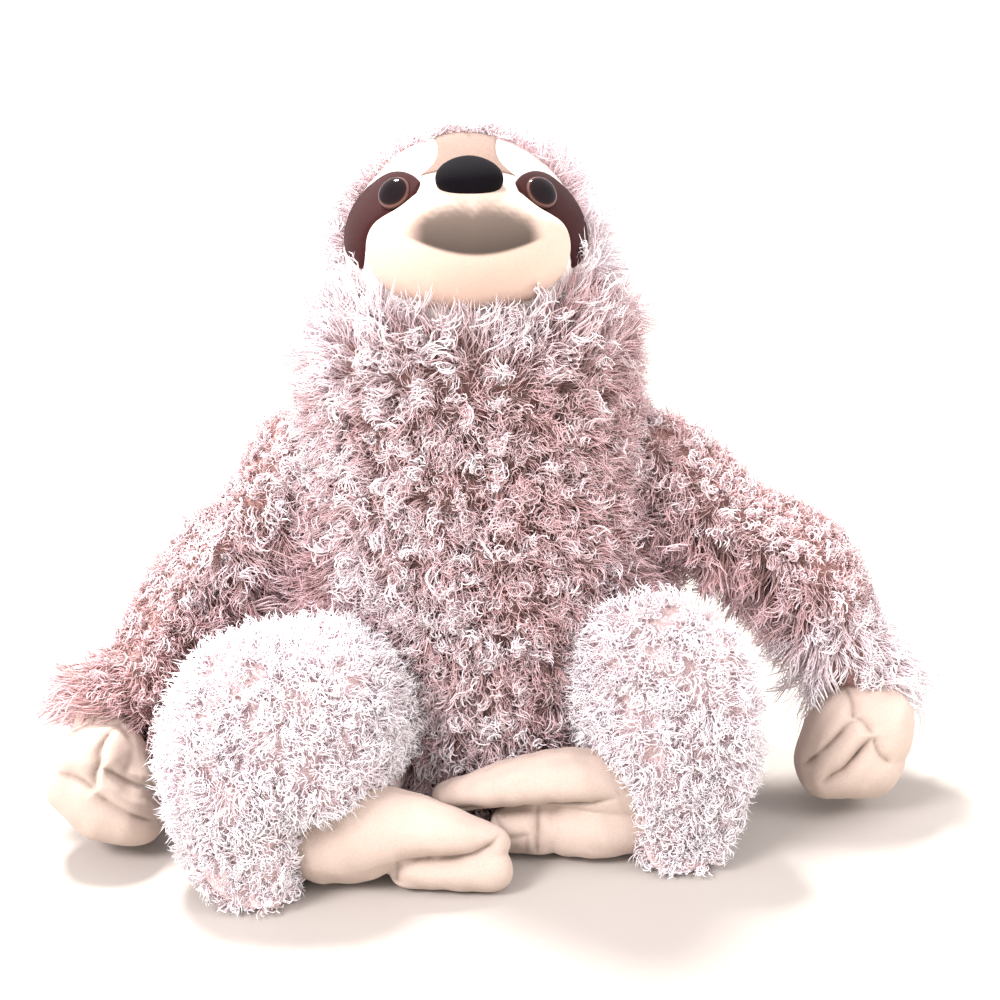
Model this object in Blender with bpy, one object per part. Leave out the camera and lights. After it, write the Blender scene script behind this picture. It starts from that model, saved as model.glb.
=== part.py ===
"""Sitting stuffed sloth, in metres, +Z up, facing -Y, with its origin at the middle of its seat.

Left and right are the sloth's own, so its left side is +X. Every plush or velour cover is an open
shell with its own stuffing inside. Head, arms and legs seat in the trunk as balls in sockets, and hands
and feet seat the same way in the limbs, so that each turns about its ball's centre.
"""

import math

import bmesh
import bpy
from mathutils import Matrix, Vector

# Clearances and cloth
SEAM_GAP = 0.0003
SOCKET_GAP = 0.0004
FLOOR_CUT = 0.0005
CUT_OVERRUN = 0.005
WELD_DISTANCE = 0.00002
PLUSH_WALL = 0.008
VELOUR_WALL = 0.0018
PATCH_THICKNESS = 0.0010

# Trunk
TORSO_HEIGHT = 0.224
TORSO_HALF_WIDTH = 0.0785
TORSO_HALF_DEPTH = 0.0660
TORSO_LEAN = 0.005
# height, half-width, half-depth and lean, as shares of the four sizes above
TORSO_STATION_SHARES = (
    (0.0023, 0.80, 0.78, 0.0),
    (0.040, 0.93, 0.92, 0.0),
    (0.150, 1.00, 1.00, 0.0),
    (0.330, 1.00, 1.00, 0.1),
    (0.520, 0.975, 0.975, 0.4),
    (0.700, 0.935, 0.935, 0.8),
    (0.850, 0.885, 0.90, 1.0),
    (0.935, 0.80, 0.83, 1.0),
    (0.983, 0.58, 0.62, 1.0),
)

# Head, in its own frame: the face looks along -Y there
HEAD_HEIGHT = 0.231
HEAD_BACK_OFF = 0.005
HEAD_TILT_DEG = -26.0
HEAD_TURN_DEG = 3.0
HEAD_RADIUS = 0.0485
HEAD_PLUSH_STAND = 0.0080
NECK_RADIUS = 0.022
FACE_SIDE_FORWARD = 0.008
FACE_MIDDLE_RISE = 0.004
FACE_TOP_FORWARD = 0.024
FACE_TOP_RISE = 0.042

# Muzzle and nose
MUZZLE_HALF_WIDTH = 0.0395
MUZZLE_LENGTH = 0.0340
MUZZLE_HALF_HEIGHT = 0.0250
MUZZLE_FORWARD = 0.0340
MUZZLE_DROP = 0.0095
NOSE_HALF_WIDTH = 0.0122
NOSE_HALF_HEIGHT = 0.0092
NOSE_HALF_DEPTH = 0.0062
NOSE_RISE = 0.0085
NOSE_FORWARD = 0.0590
NOSE_TILT_DEG = 42.0
NOSE_TAPER_SHARE = 0.18

# Eyes
EYE_ACROSS = 0.0285
EYE_RISE = 0.0120
EYE_RADIUS = 0.0062
EYE_DOME = 0.0042
EYE_RIM = 0.0010
PUPIL_RADIUS = 0.0040
PUPIL_THICKNESS = 0.0012
SHANK_RADIUS = 0.0016
SHANK_LENGTH = 0.0100
WASHER_RADIUS = 0.0060
WASHER_THICKNESS = 0.0014

# Eye patch and brow wedge: x and z places on the face and half-widths, as shares of the head's radius
PATCH_SHARES = (
    (0.40, 0.22, 0.045),
    (0.50, 0.25, 0.130),
    (0.62, 0.27, 0.180),
    (0.76, 0.23, 0.190),
    (0.86, 0.07, 0.150),
    (0.90, -0.10, 0.115),
    (0.90, -0.22, 0.065),
)
WEDGE_SHARES = (
    (0.0, 0.84, 0.27),
    (0.0, 0.70, 0.25),
    (0.0, 0.55, 0.24),
    (0.0, 0.40, 0.31),
)

FACE_NEAR_SHARE = 0.15
FACE_FAR_SHARE = 1.5

# Arms: shoulder, elbow and wrist of each side, then the hand's middle
SHOULDER_INSET = 0.0015
ARM_RADIUS = 0.0250
SHOULDER_RADIUS = 0.0235
WRIST_RADIUS = 0.0215
SLEEVE_BACK_OFF = 0.003
HAND_RADIUS = 0.0245
HAND_ROOT_RADIUS = 0.0125
HAND_NECK_RADIUS = 0.0170
FINGER_RADIUS = 0.0082
FINGER_SPACING = 0.0140
FINGER_FACE_UP_SHARE = 0.35
FINGER_FALL_SHARE = 0.16
ELBOW_SHARE = 1.06
ARM_MIDDLE_SHARE = 0.5
HAND_NECK_SHARE = 0.45
RIGHT_SHOULDER_HEIGHT = 0.148
RIGHT_ELBOW_OUT = 0.128
RIGHT_ELBOW_FORWARD = 0.012
RIGHT_ELBOW_HEIGHT = 0.093
RIGHT_WRIST_OUT = 0.155
RIGHT_WRIST_FORWARD = 0.054
RIGHT_WRIST_HEIGHT = 0.044
RIGHT_HAND_OUT = 0.149
RIGHT_HAND_FORWARD = 0.0765
LEFT_SHOULDER_HEIGHT = 0.145
LEFT_ELBOW_OUT = 0.149
LEFT_ELBOW_FORWARD = 0.010
LEFT_ELBOW_HEIGHT = 0.100
LEFT_WRIST_OUT = 0.173
LEFT_WRIST_FORWARD = 0.022
LEFT_WRIST_HEIGHT = 0.047
LEFT_HAND_OUT = 0.163
LEFT_HAND_FORWARD = 0.042

# along the curl and out of the palm, as shares of the hand's radius, from knuckle to tip
FINGER_SHARES = (
    (-0.60, 0.30),
    (-0.28, 0.72),
    (0.20, 0.82),
)

# Legs: lofted forward from the hip's ball
HIP_OUT = 0.050
HIP_FORWARD = 0.036
HIP_RADIUS = 0.034
HIP_HEIGHT = 0.046
RIGHT_LEG_REACH = 0.095
RIGHT_LEG_OUT = 0.0285
RIGHT_LEG_HALF_WIDTH = 0.0460
RIGHT_KNEE_HEIGHT = 0.099
LEFT_LEG_REACH = 0.067
LEFT_LEG_OUT = 0.0290
LEFT_LEG_HALF_WIDTH = 0.0355
LEFT_KNEE_HEIGHT = 0.107
# forward, outward, half-width and top height, as shares of the leg's reach, out, half-width and knee height
LEG_STATION_SHARES = (
    (0.20, 0.40, 0.92, 0.90),
    (0.42, 0.80, 1.00, 1.00),
    (0.64, 1.00, 0.97, 0.95),
    (0.83, 1.05, 0.80, 0.77),
    (0.95, 1.00, 0.48, 0.50),
)
LEG_END_RISE_SHARE = 0.24
LEG_ROUNDNESS_SHARE = 0.82

# Feet
FOOT_ROOT_RADIUS = 0.0145
RIGHT_FOOT_LENGTH = 0.060
RIGHT_FOOT_HALF_HEIGHT = 0.0155
RIGHT_FOOT_HALF_DEPTH = 0.0140
RIGHT_ANKLE_OUT = 0.045
RIGHT_ANKLE_FORWARD = 0.094
RIGHT_ANKLE_HEIGHT = 0.0165
LEFT_FOOT_LENGTH = 0.073
LEFT_FOOT_HALF_HEIGHT = 0.0205
LEFT_FOOT_HALF_DEPTH = 0.0135
LEFT_ANKLE_OUT = 0.053
LEFT_ANKLE_FORWARD = 0.078
LEFT_ANKLE_HEIGHT = 0.0215
FEET_APART = 0.0045
# along, forward, rise, half-depth and half-height, as shares of the foot's length, half-depth, half-height,
# half-depth and half-height: first the long lobe from the ankle, then the toe lobe under it
RIGHT_FOOT_SHARES = (
    ((0.38, 0.10, 1.06, 1.00, 0.97), (0.66, 0.45, 1.22, 0.85, 0.74), (0.88, 0.70, 1.28, 0.62, 0.50)),
    ((0.42, 0.35, 0.53, 0.70, 0.50), (0.66, 0.75, 0.53, 0.62, 0.50), (0.86, 1.00, 0.50, 0.54, 0.46)),
)
LEFT_FOOT_SHARES = (
    ((0.35, 0.25, 1.28, 1.00, 0.70), (0.65, 0.15, 1.28, 0.90, 0.62), (0.89, 0.00, 1.16, 0.62, 0.45)),
    ((0.14, 0.25, 0.54, 0.90, 0.52), (0.34, 0.35, 0.54, 0.92, 0.52), (0.50, 0.30, 0.50, 0.75, 0.46)),
)

# Weighted seat
POUCH_HALF_WIDTH = 0.042
POUCH_HALF_DEPTH = 0.018
POUCH_HEIGHT = 0.030
POUCH_WALL = 0.0010
POUCH_MOUTH_RADIUS = 0.006

# Ways that the joints turn, in degrees: each carried piece is cut clear over its whole range
ARM_RAISE_DEG = (0.0, 35.0, 70.0)
RIGHT_LIFT_DEG = (0.0, 6.0, 12.0)
LEFT_LIFT_DEG = (0.0, 2.5, 5.0)
HAND_LIFT_DEG = (0.0, 6.0, 12.0)
FOOT_BEND_DEG = (0.0, 10.0, 20.0)

# Facets
TORSO_SIDES = 24
HEAD_SIDES = 20
LIMB_SIDES = 12
LINING_SIDES = 10
SOCKET_SIDES = 12
SMALL_SIDES = 12
LINING_STATION_STEPS = 2
CAP_STEPS = 3
PATH_STEPS = 2
FACE_STEPS = 6
ROOT_OPENING_SHARE = 0.5

SIDE_SIGNS = {"right": -1.0, "left": 1.0}
UP = Vector((0, 0, 1))
ACROSS = Vector((1, 0, 0))
FORWARD = Vector((0, -1, 0))


def clear_scene():
    for thing in list(bpy.data.objects):
        bpy.data.objects.remove(thing, do_unlink=True)


def plain_material(name, colour, roughness, metallic=0.0):
    material = bpy.data.materials.new(name)
    material.use_nodes = True
    shader = material.node_tree.nodes["Principled BSDF"]
    shader.inputs["Base Color"].default_value = (*colour, 1.0)
    shader.inputs["Roughness"].default_value = roughness
    shader.inputs["Metallic"].default_value = metallic
    return material


def new_object(name, mesh, material=None):
    thing = bpy.data.objects.new(name, mesh)
    bpy.context.scene.collection.objects.link(thing)
    if material:
        mesh.materials.append(material)
    return thing


def mesh_of_rings(name, rings, looped=False):
    """A closed mesh through rings of points. A ring of one point is a pole, and a looped run joins its ends.

    Every four-sided patch is split the same way, so that forms drawn in by a gap keep it all over.
    """
    bm = bmesh.new()
    made = [[bm.verts.new(point) for point in ring] for ring in rings]
    pairs = list(zip(made, made[1:]))
    if looped:
        pairs.append((made[-1], made[0]))
    for near, far in pairs:
        count = max(len(near), len(far))
        for i in range(count):
            j = (i + 1) % count
            if len(near) == 1:
                bm.faces.new((near[0], far[i], far[j]))
            elif len(far) == 1:
                bm.faces.new((near[i], near[j], far[0]))
            else:
                bm.faces.new((near[i], near[j], far[j]))
                bm.faces.new((near[i], far[j], far[i]))
    bmesh.ops.recalc_face_normals(bm, faces=bm.faces)
    for face in bm.faces:
        face.smooth = True
    mesh = bpy.data.meshes.new(name)
    bm.to_mesh(mesh)
    bm.free()
    return mesh


def as_cutter(thing):
    thing.hide_render = True
    thing.display_type = "WIRE"
    return thing


def boolean(thing, other, operation):
    modifier = thing.modifiers.new(operation.title() + " " + other.name, "BOOLEAN")
    modifier.operation = operation
    modifier.solver = "EXACT"
    modifier.object = other


def cut(things, cutters):
    for thing in things:
        for cutter in cutters:
            boolean(thing, cutter, "DIFFERENCE")


def ellipse_ring(centre, across, upright, sides, roundness=1.0):
    """An ellipse of points, which a roundness below 1 makes squarer."""
    ring = []
    for i in range(sides):
        turn = math.tau * i / sides
        wide = math.copysign(abs(math.cos(turn)) ** roundness, math.cos(turn))
        high = math.copysign(abs(math.sin(turn)) ** roundness, math.sin(turn))
        ring.append(centre + across * wide + upright * high)
    return ring


def smooth_through(points, steps):
    """Points of a Catmull-Rom curve through tuples of numbers, with steps pieces between neighbours."""
    padded = [points[0], *points, points[-1]]
    found = []
    for before, start, end, after in zip(padded, padded[1:], padded[2:], padded[3:]):
        for step in range(steps):
            t = step / steps
            found.append(tuple(
                0.5 * (
                    2 * b + (c - a) * t + (2 * a - 5 * b + 4 * c - d) * t**2 + (3 * b - a - 3 * c + d) * t**3
                )
                for a, b, c, d in zip(before, start, end, after)
            ))
    return found + [tuple(points[-1])]


def swept_rings(stations, sides, inset=0.0, flat_end=False):
    """Rings of a limb that follows stations of (x, y, z, half-width, half-height), with ball ends.

    inset draws every wall in. A flat end is drawn in by the same amount.
    """
    centres = [Vector(station[:3]) for station in stations]
    rings = []
    count = len(stations)
    for i, centre in enumerate(centres):
        tangent = (centres[min(i + 1, count - 1)] - centres[max(i - 1, 0)]).normalized()
        side = tangent.cross(UP).normalized()
        upright = side.cross(tangent)
        wide, high = (size - inset for size in stations[i][3:5])
        if i == 0:
            rings.append([centre - tangent * wide])
            for step in range(1, CAP_STEPS):
                turn = math.radians(90) * step / CAP_STEPS
                middle = centre - tangent * wide * math.cos(turn)
                scale = math.sin(turn)
                rings.append(ellipse_ring(middle, side * wide * scale, upright * high * scale, sides))
        if i == count - 1 and flat_end:
            centre = centre - tangent * inset
        rings.append(ellipse_ring(centre, side * wide, upright * high, sides))
        if i == count - 1 and flat_end:
            rings.append([centre])
        if i == count - 1 and not flat_end:
            for step in range(1, CAP_STEPS + 1):
                turn = math.radians(90) * step / CAP_STEPS
                middle = centre + tangent * wide * math.sin(turn)
                scale = math.cos(turn)
                rings.append(ellipse_ring(middle, side * wide * scale, upright * high * scale, sides))
            rings[-1] = [centre + tangent * wide]
    return rings


def ball_rings(centre, radii, sides):
    """Rings of an ellipsoid, pole to pole along Z."""
    rows = sides // 2
    rings = [[centre - UP * radii[2]]]
    for row in range(1, rows):
        turn = math.pi * row / rows
        middle = centre - UP * radii[2] * math.cos(turn)
        wide = math.sin(turn)
        rings.append(ellipse_ring(middle, ACROSS * radii[0] * wide, FORWARD * radii[1] * wide, sides))
    return rings + [[centre + UP * radii[2]]]


def ball_cutter(name, centre, radius, sides=SOCKET_SIDES):
    """A ball whose flat facets all lie outside the true radius."""
    outside = radius / math.cos(math.pi / sides) ** 2
    return as_cutter(new_object(name, mesh_of_rings(name, ball_rings(centre, (outside,) * 3, sides))))


def root_ball(name, centre, radius, way):
    """The ball that a limb starts with, faceted as the limb's own ball end is. way points along the limb."""
    side = way.cross(UP).normalized()
    upright = side.cross(way)
    rows = 2 * CAP_STEPS
    rings = [[centre - way * radius]]
    for row in range(1, rows):
        turn = math.pi * row / rows
        wide = radius * math.sin(turn)
        middle = centre - way * radius * math.cos(turn)
        rings.append(ellipse_ring(middle, side * wide, upright * wide, LIMB_SIDES))
    rings.append([centre + way * radius])
    return as_cutter(new_object(name, mesh_of_rings(name, rings)))


def box_cutter(name, low, high):
    bm = bmesh.new()
    bmesh.ops.create_cube(bm, size=1.0)
    for vertex in bm.verts:
        vertex.co = Vector(lo + (hi - lo) * (at + 0.5) for lo, hi, at in zip(low, high, vertex.co))
    mesh = bpy.data.meshes.new(name)
    bm.to_mesh(mesh)
    bm.free()
    return as_cutter(new_object(name, mesh))


def torso_rings(inset=0.0, lift=0.0, lining=False):
    """Rings of the trunk. inset draws its walls in, and lift raises its floor. A lining is plainer."""
    sides = LIMB_SIDES if lining else TORSO_SIDES
    stations = TORSO_STATION_SHARES[::LINING_STATION_STEPS] if lining else TORSO_STATION_SHARES
    low, high = -FLOOR_CUT + lift, TORSO_HEIGHT - inset
    rings = []
    for height, wide, deep, lean in stations:
        centre = Vector((-TORSO_LEAN * lean, 0, low + (high - low) * height))
        rings.append(ellipse_ring(
            centre,
            ACROSS * (TORSO_HALF_WIDTH * wide - inset),
            FORWARD * (TORSO_HALF_DEPTH * deep - inset),
            sides,
        ))
    bottom = Vector((0, 0, low))
    top = Vector((-TORSO_LEAN, 0, high))
    return [[bottom], *rings, [top]]


def head_matrix():
    turn = Matrix.Rotation(math.radians(HEAD_TURN_DEG), 4, "Z")
    tilt = Matrix.Rotation(math.radians(HEAD_TILT_DEG), 4, "X")
    return Matrix.Translation(head_centre()) @ turn @ tilt


def head_centre():
    return Vector((-TORSO_LEAN, -HEAD_BACK_OFF, HEAD_HEIGHT))


def head_plush_radius():
    return HEAD_RADIUS + HEAD_PLUSH_STAND


def shoulder(side):
    height = RIGHT_SHOULDER_HEIGHT if side == "right" else LEFT_SHOULDER_HEIGHT
    return Vector((SIDE_SIGNS[side] * (TORSO_HALF_WIDTH - SHOULDER_INSET), 0, height))


def arm_points(side):
    """The elbow, wrist and hand's middle."""
    if side == "right":
        return (
            Vector((-RIGHT_ELBOW_OUT, -RIGHT_ELBOW_FORWARD, RIGHT_ELBOW_HEIGHT)),
            Vector((-RIGHT_WRIST_OUT, -RIGHT_WRIST_FORWARD, RIGHT_WRIST_HEIGHT)),
            Vector((-RIGHT_HAND_OUT, -RIGHT_HAND_FORWARD, HAND_RADIUS - FLOOR_CUT)),
        )
    return (
        Vector((LEFT_ELBOW_OUT, -LEFT_ELBOW_FORWARD, LEFT_ELBOW_HEIGHT)),
        Vector((LEFT_WRIST_OUT, -LEFT_WRIST_FORWARD, LEFT_WRIST_HEIGHT)),
        Vector((LEFT_HAND_OUT, -LEFT_HAND_FORWARD, HAND_RADIUS - FLOOR_CUT)),
    )


def hip(side):
    return Vector((SIDE_SIGNS[side] * HIP_OUT, -HIP_FORWARD, HIP_HEIGHT))


def ankle(side):
    if side == "right":
        return Vector((-RIGHT_ANKLE_OUT, -RIGHT_ANKLE_FORWARD, RIGHT_ANKLE_HEIGHT))
    return Vector((LEFT_ANKLE_OUT, -LEFT_ANKLE_FORWARD, LEFT_ANKLE_HEIGHT))


def turned(pivot, axis, degrees):
    turn = Matrix.Rotation(math.radians(degrees), 4, axis)
    return Matrix.Translation(pivot) @ turn @ Matrix.Translation(-pivot)


def room_cutter(name, carrier_mesh, ball, joint, degrees):
    """What carries a piece, in every place that it takes seen from the piece, less the socket's ball."""
    pivot, axis = joint
    room = None
    for turn in degrees:
        copy = as_cutter(new_object(f"{name}_{turn:.0f}", carrier_mesh))
        copy.matrix_world = turned(pivot, axis, -turn)
        if room:
            boolean(room, copy, "UNION")
        else:
            room = copy
    boolean(room, ball, "DIFFERENCE")
    return room


def solid(name, rings, material=None):
    return new_object(name, mesh_of_rings(name, rings), material)


def cutter_of(name, rings):
    return as_cutter(solid(name, rings))


def prism(name, near, far):
    """A closed cutter between two flat outlines of as many points."""
    bm = bmesh.new()
    near = [bm.verts.new(point) for point in near]
    far = [bm.verts.new(point) for point in far]
    bm.faces.new(near)
    bm.faces.new(far)
    for i in range(len(near)):
        j = (i + 1) % len(near)
        bm.faces.new((near[i], near[j], far[j], far[i]))
    bmesh.ops.recalc_face_normals(bm, faces=bm.faces)
    mesh = bpy.data.meshes.new(name)
    bm.to_mesh(mesh)
    bm.free()
    return as_cutter(new_object(name, mesh))


def turned_piece(name, profile, start, axis, material=None):
    """A turned solid of (radius, height) points along an axis, or a ring if they start off the axis."""
    across = axis.orthogonal().normalized()
    upright = axis.cross(across)
    rings = []
    for radius, height in profile:
        centre = start + axis * height
        if radius:
            rings.append(ellipse_ring(centre, across * radius, upright * radius, SMALL_SIDES))
        else:
            rings.append([centre])
    return new_object(name, mesh_of_rings(name, rings, looped=bool(profile[0][0])), material)


def bore(name, start, axis, radius, length):
    return as_cutter(turned_piece(name, ((0, 0), (radius, 0), (radius, length), (0, length)), start, axis))


def floor_box(name, middle, reach):
    low = (middle.x - reach, middle.y - reach, -CUT_OVERRUN)
    return box_cutter(f"{name}_floor", low, (middle.x + reach, middle.y + reach, 0))


def build_torso(materials, sockets):
    cover = solid("torso_fur_cover", torso_rings(), materials["plush"])
    lift = PLUSH_WALL + FLOOR_CUT
    hollow = cutter_of("torso_hollow", torso_rings(PLUSH_WALL, lift, lining=True))
    rings = torso_rings(PLUSH_WALL + SEAM_GAP, lift + SEAM_GAP, lining=True)
    stuffing = solid("torso_stuffing", rings, materials["fibre"])
    cut([cover], [hollow, floor_box("torso", Vector(), TORSO_HALF_WIDTH + CUT_OVERRUN)])
    cut([cover, stuffing], sockets)
    cut([stuffing], [build_pellets(materials)])


def build_pellets(materials):
    """The pouch on the trunk's lining, open at its filling mouth, with its pellets. Returns their room."""
    back_of_hips = HIP_RADIUS + SOCKET_GAP + SEAM_GAP - HIP_FORWARD
    middle = Vector((0, back_of_hips + POUCH_HALF_DEPTH, PLUSH_WALL + SEAM_GAP + POUCH_HEIGHT / 2))

    def rings(inset):
        radii = (POUCH_HALF_WIDTH - inset, POUCH_HALF_DEPTH - inset, POUCH_HEIGHT / 2 - inset)
        return ball_rings(middle, radii, SMALL_SIDES)

    pouch = solid("pellet_pouch", rings(0.0), materials["lining"])
    solid("pellets", rings(POUCH_WALL + SEAM_GAP), materials["pellets"])
    mouth = bore("pouch_mouth", middle, UP, POUCH_MOUTH_RADIUS, POUCH_HEIGHT)
    cut([pouch], [cutter_of("pouch_hollow", rings(POUCH_WALL)), mouth])
    return cutter_of("pouch_room", rings(-SEAM_GAP))


def skull_rings(radius):
    return ball_rings(Vector(), (radius,) * 3, HEAD_SIDES)


def face_region(name, gap):
    """The space in front of the seam that runs round the face, in the head's frame."""
    reach = head_plush_radius() + CUT_OVERRUN
    bend = (FACE_TOP_FORWARD - FACE_SIDE_FORWARD) / (FACE_TOP_RISE - FACE_MIDDLE_RISE) ** 2
    outline = []
    for step in range(FACE_STEPS + 1):
        rise = -reach + 2 * reach * step / FACE_STEPS
        forward = FACE_SIDE_FORWARD + gap + bend * (rise - FACE_MIDDLE_RISE) ** 2
        outline.append(Vector((-reach, -forward, rise)))
    front = min(-reach, *(point.y for point in outline)) - CUT_OVERRUN
    outline += [Vector((-reach, front, reach)), Vector((-reach, front, -reach))]
    return prism(name, outline, [point + ACROSS * 2 * reach for point in outline])


def on_face(across, rise):
    """A direction from the head's centre to a place on the face, from shares of the head's radius."""
    return Vector((across, -math.sqrt(1 - across**2 - rise**2), rise))


def face_piece(name, shares, sign, material):
    """A thin velour piece on the face that follows (x, z, half-width) shares of the head's radius."""
    piece = solid(name, skull_rings(HEAD_RADIUS + SEAM_GAP + PATCH_THICKNESS), material)
    boolean(piece, cutter_of(f"{name}_back", skull_rings(HEAD_RADIUS + SEAM_GAP)), "DIFFERENCE")
    middles = [on_face(x * sign, z) for x, z, _ in shares]
    sides = ([], [])
    for i, (middle, station) in enumerate(zip(middles, shares)):
        along = middles[min(i + 1, len(middles) - 1)] - middles[max(i - 1, 0)]
        across = middle.cross(along).normalized() * station[2]
        sides[0].append((middle + across).normalized())
        sides[1].append((middle - across).normalized())
    directions = sides[0] + sides[1][::-1]
    near, far = (
        [direction * (depth / -direction.y) for direction in directions]
        for depth in (HEAD_RADIUS * FACE_NEAR_SHARE, HEAD_RADIUS * FACE_FAR_SHARE)
    )
    boolean(piece, prism(f"{name}_outline", near, far), "INTERSECT")
    return piece


def build_head(materials):
    pivot = bpy.data.objects.new("head_pivot", None)
    bpy.context.scene.collection.objects.link(pivot)
    pivot.matrix_world = head_matrix()
    before = set(bpy.data.objects)
    inside = HEAD_RADIUS - VELOUR_WALL
    cover = solid("head_fur_cover", skull_rings(head_plush_radius()), materials["plush"])
    panel = solid("face_panel", skull_rings(HEAD_RADIUS), materials["velour"])
    stuffing = solid("head_stuffing", skull_rings(inside - SEAM_GAP), materials["fibre"])
    hollow = cutter_of("head_hollow", skull_rings(inside))
    down = head_matrix().to_3x3().inverted() @ -UP
    neck = bore("neck_opening", Vector(), down, NECK_RADIUS, 2 * HEAD_RADIUS)
    cut([cover], [hollow, face_region("face_opening", 0.0), neck])
    cut([panel], [hollow])
    boolean(panel, face_region("face_shape", SEAM_GAP), "INTERSECT")
    muzzle_room = build_muzzle(materials)
    hood = cutter_of("hood_room", skull_rings(head_plush_radius() + SEAM_GAP))
    cut([hood], [face_region("hood_front", SEAM_GAP)])
    wedge = face_piece("forehead_wedge", WEDGE_SHARES, 1.0, materials["tan_velour"])
    cut([wedge], [muzzle_room, hood])
    for side, sign in SIDE_SIGNS.items():
        patch = face_piece(f"eye_patch_{side}", PATCH_SHARES, sign, materials["brown_velour"])
        cut([patch], [muzzle_room, hood])
        build_eye(materials, side, (patch, panel, stuffing))
    for thing in set(bpy.data.objects) - before:
        thing.parent = pivot


def build_muzzle(materials):
    """The cheeks and chin as one padded pouch, open behind, and the nose on them. It returns their room."""
    middle = Vector((0, -MUZZLE_FORWARD, -MUZZLE_DROP))

    def rings(inset):
        radii = (MUZZLE_HALF_WIDTH - inset, MUZZLE_LENGTH - inset, MUZZLE_HALF_HEIGHT - inset)
        return ball_rings(middle, radii, LIMB_SIDES)

    cover = solid("muzzle_cover", rings(0.0), materials["velour"])
    stuffing = solid("muzzle_stuffing", rings(VELOUR_WALL + SEAM_GAP), materials["fibre"])
    cut([cover], [cutter_of("muzzle_hollow", rings(VELOUR_WALL))])
    cut([cover, stuffing], [cutter_of("skull_room", skull_rings(HEAD_RADIUS + SEAM_GAP))])
    room = cutter_of("muzzle_room", rings(-SEAM_GAP))
    tilt = Matrix.Rotation(math.radians(-NOSE_TILT_DEG), 4, "X")
    place = Matrix.Translation(Vector((0, -NOSE_FORWARD, NOSE_RISE))) @ tilt
    nose_rings = []
    for ring in ball_rings(Vector(), (NOSE_HALF_WIDTH, NOSE_HALF_DEPTH, NOSE_HALF_HEIGHT), SMALL_SIDES):
        spread = 1 + NOSE_TAPER_SHARE * ring[0].z / NOSE_HALF_HEIGHT
        nose_rings.append([place @ Vector((point.x * spread, point.y, point.z)) for point in ring])
    nose = solid("nose", nose_rings, materials["nose"])
    cut([nose], [room])
    return room


def build_eye(materials, side, layers):
    """A glossy dome over a black disc, whose shank a washer locks behind the face."""
    patch, panel, stuffing = layers
    axis = on_face(SIDE_SIGNS[side] * EYE_ACROSS / HEAD_RADIUS, EYE_RISE / HEAD_RADIUS)
    seat = axis * (HEAD_RADIUS + 2 * SEAM_GAP + PATCH_THICKNESS)
    recess = PUPIL_THICKNESS + SEAM_GAP
    hole = PUPIL_RADIUS + SEAM_GAP
    dome = [(0, recess), (hole, recess), (hole, 0), (EYE_RADIUS, 0)]
    for step in range(CAP_STEPS):
        turn = math.radians(90) * step / CAP_STEPS
        dome.append((EYE_RADIUS * math.cos(turn), EYE_RIM + (EYE_DOME - EYE_RIM) * math.sin(turn)))
    dome.append((0, EYE_DOME))
    turned_piece(f"eye_lens_{side}", dome, seat, axis, materials["eye_brown"])
    turned_piece(f"eye_pupil_{side}", (
        (0, -SHANK_LENGTH),
        (SHANK_RADIUS, -SHANK_LENGTH),
        (SHANK_RADIUS, 0),
        (PUPIL_RADIUS, 0),
        (PUPIL_RADIUS, PUPIL_THICKNESS),
        (0, PUPIL_THICKNESS),
    ), seat, axis, materials["eye_black"])
    facet_dip = HEAD_RADIUS * math.sin(math.pi / HEAD_SIDES) ** 2
    level = axis * (math.sqrt((HEAD_RADIUS - VELOUR_WALL) ** 2 - WASHER_RADIUS**2) - facet_dip - SEAM_GAP)
    shank_hole = SHANK_RADIUS + SEAM_GAP
    turned_piece(f"eye_washer_{side}", (
        (shank_hole, -WASHER_THICKNESS),
        (WASHER_RADIUS, -WASHER_THICKNESS),
        (WASHER_RADIUS, 0),
        (shank_hole, 0),
    ), level, axis, materials["washer"])
    pocket_radius = WASHER_RADIUS + SEAM_GAP
    pocket_floor = -WASHER_THICKNESS - SEAM_GAP
    pocket = as_cutter(turned_piece(f"washer_room_{side}", (
        (0, -SHANK_LENGTH),
        (shank_hole, -SHANK_LENGTH),
        (shank_hole, pocket_floor),
        (pocket_radius, pocket_floor),
        (pocket_radius, SHANK_LENGTH),
        (0, SHANK_LENGTH),
    ), level, axis))
    cut([patch, panel], [bore(f"shank_room_{side}", axis * HEAD_RADIUS / 2, axis, shank_hole, HEAD_RADIUS)])
    cut([stuffing], [pocket])


def arm_stations(side):
    """The sleeve from the shoulder's ball to its cuff."""
    start = shoulder(side)
    elbow, wrist, _ = arm_points(side)
    cuff = wrist - (wrist - elbow).normalized() * SLEEVE_BACK_OFF
    controls = (
        (*start, SHOULDER_RADIUS, SHOULDER_RADIUS),
        (*start.lerp(elbow, ARM_MIDDLE_SHARE), ARM_RADIUS, ARM_RADIUS),
        (*elbow, ARM_RADIUS * ELBOW_SHARE, ARM_RADIUS * ELBOW_SHARE),
        (*cuff, WRIST_RADIUS, WRIST_RADIUS),
    )
    return smooth_through(controls, PATH_STEPS)


def first_way(stations):
    """The direction that a limb leaves its root in."""
    return (Vector(stations[1][:3]) - Vector(stations[0][:3])).normalized()


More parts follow.
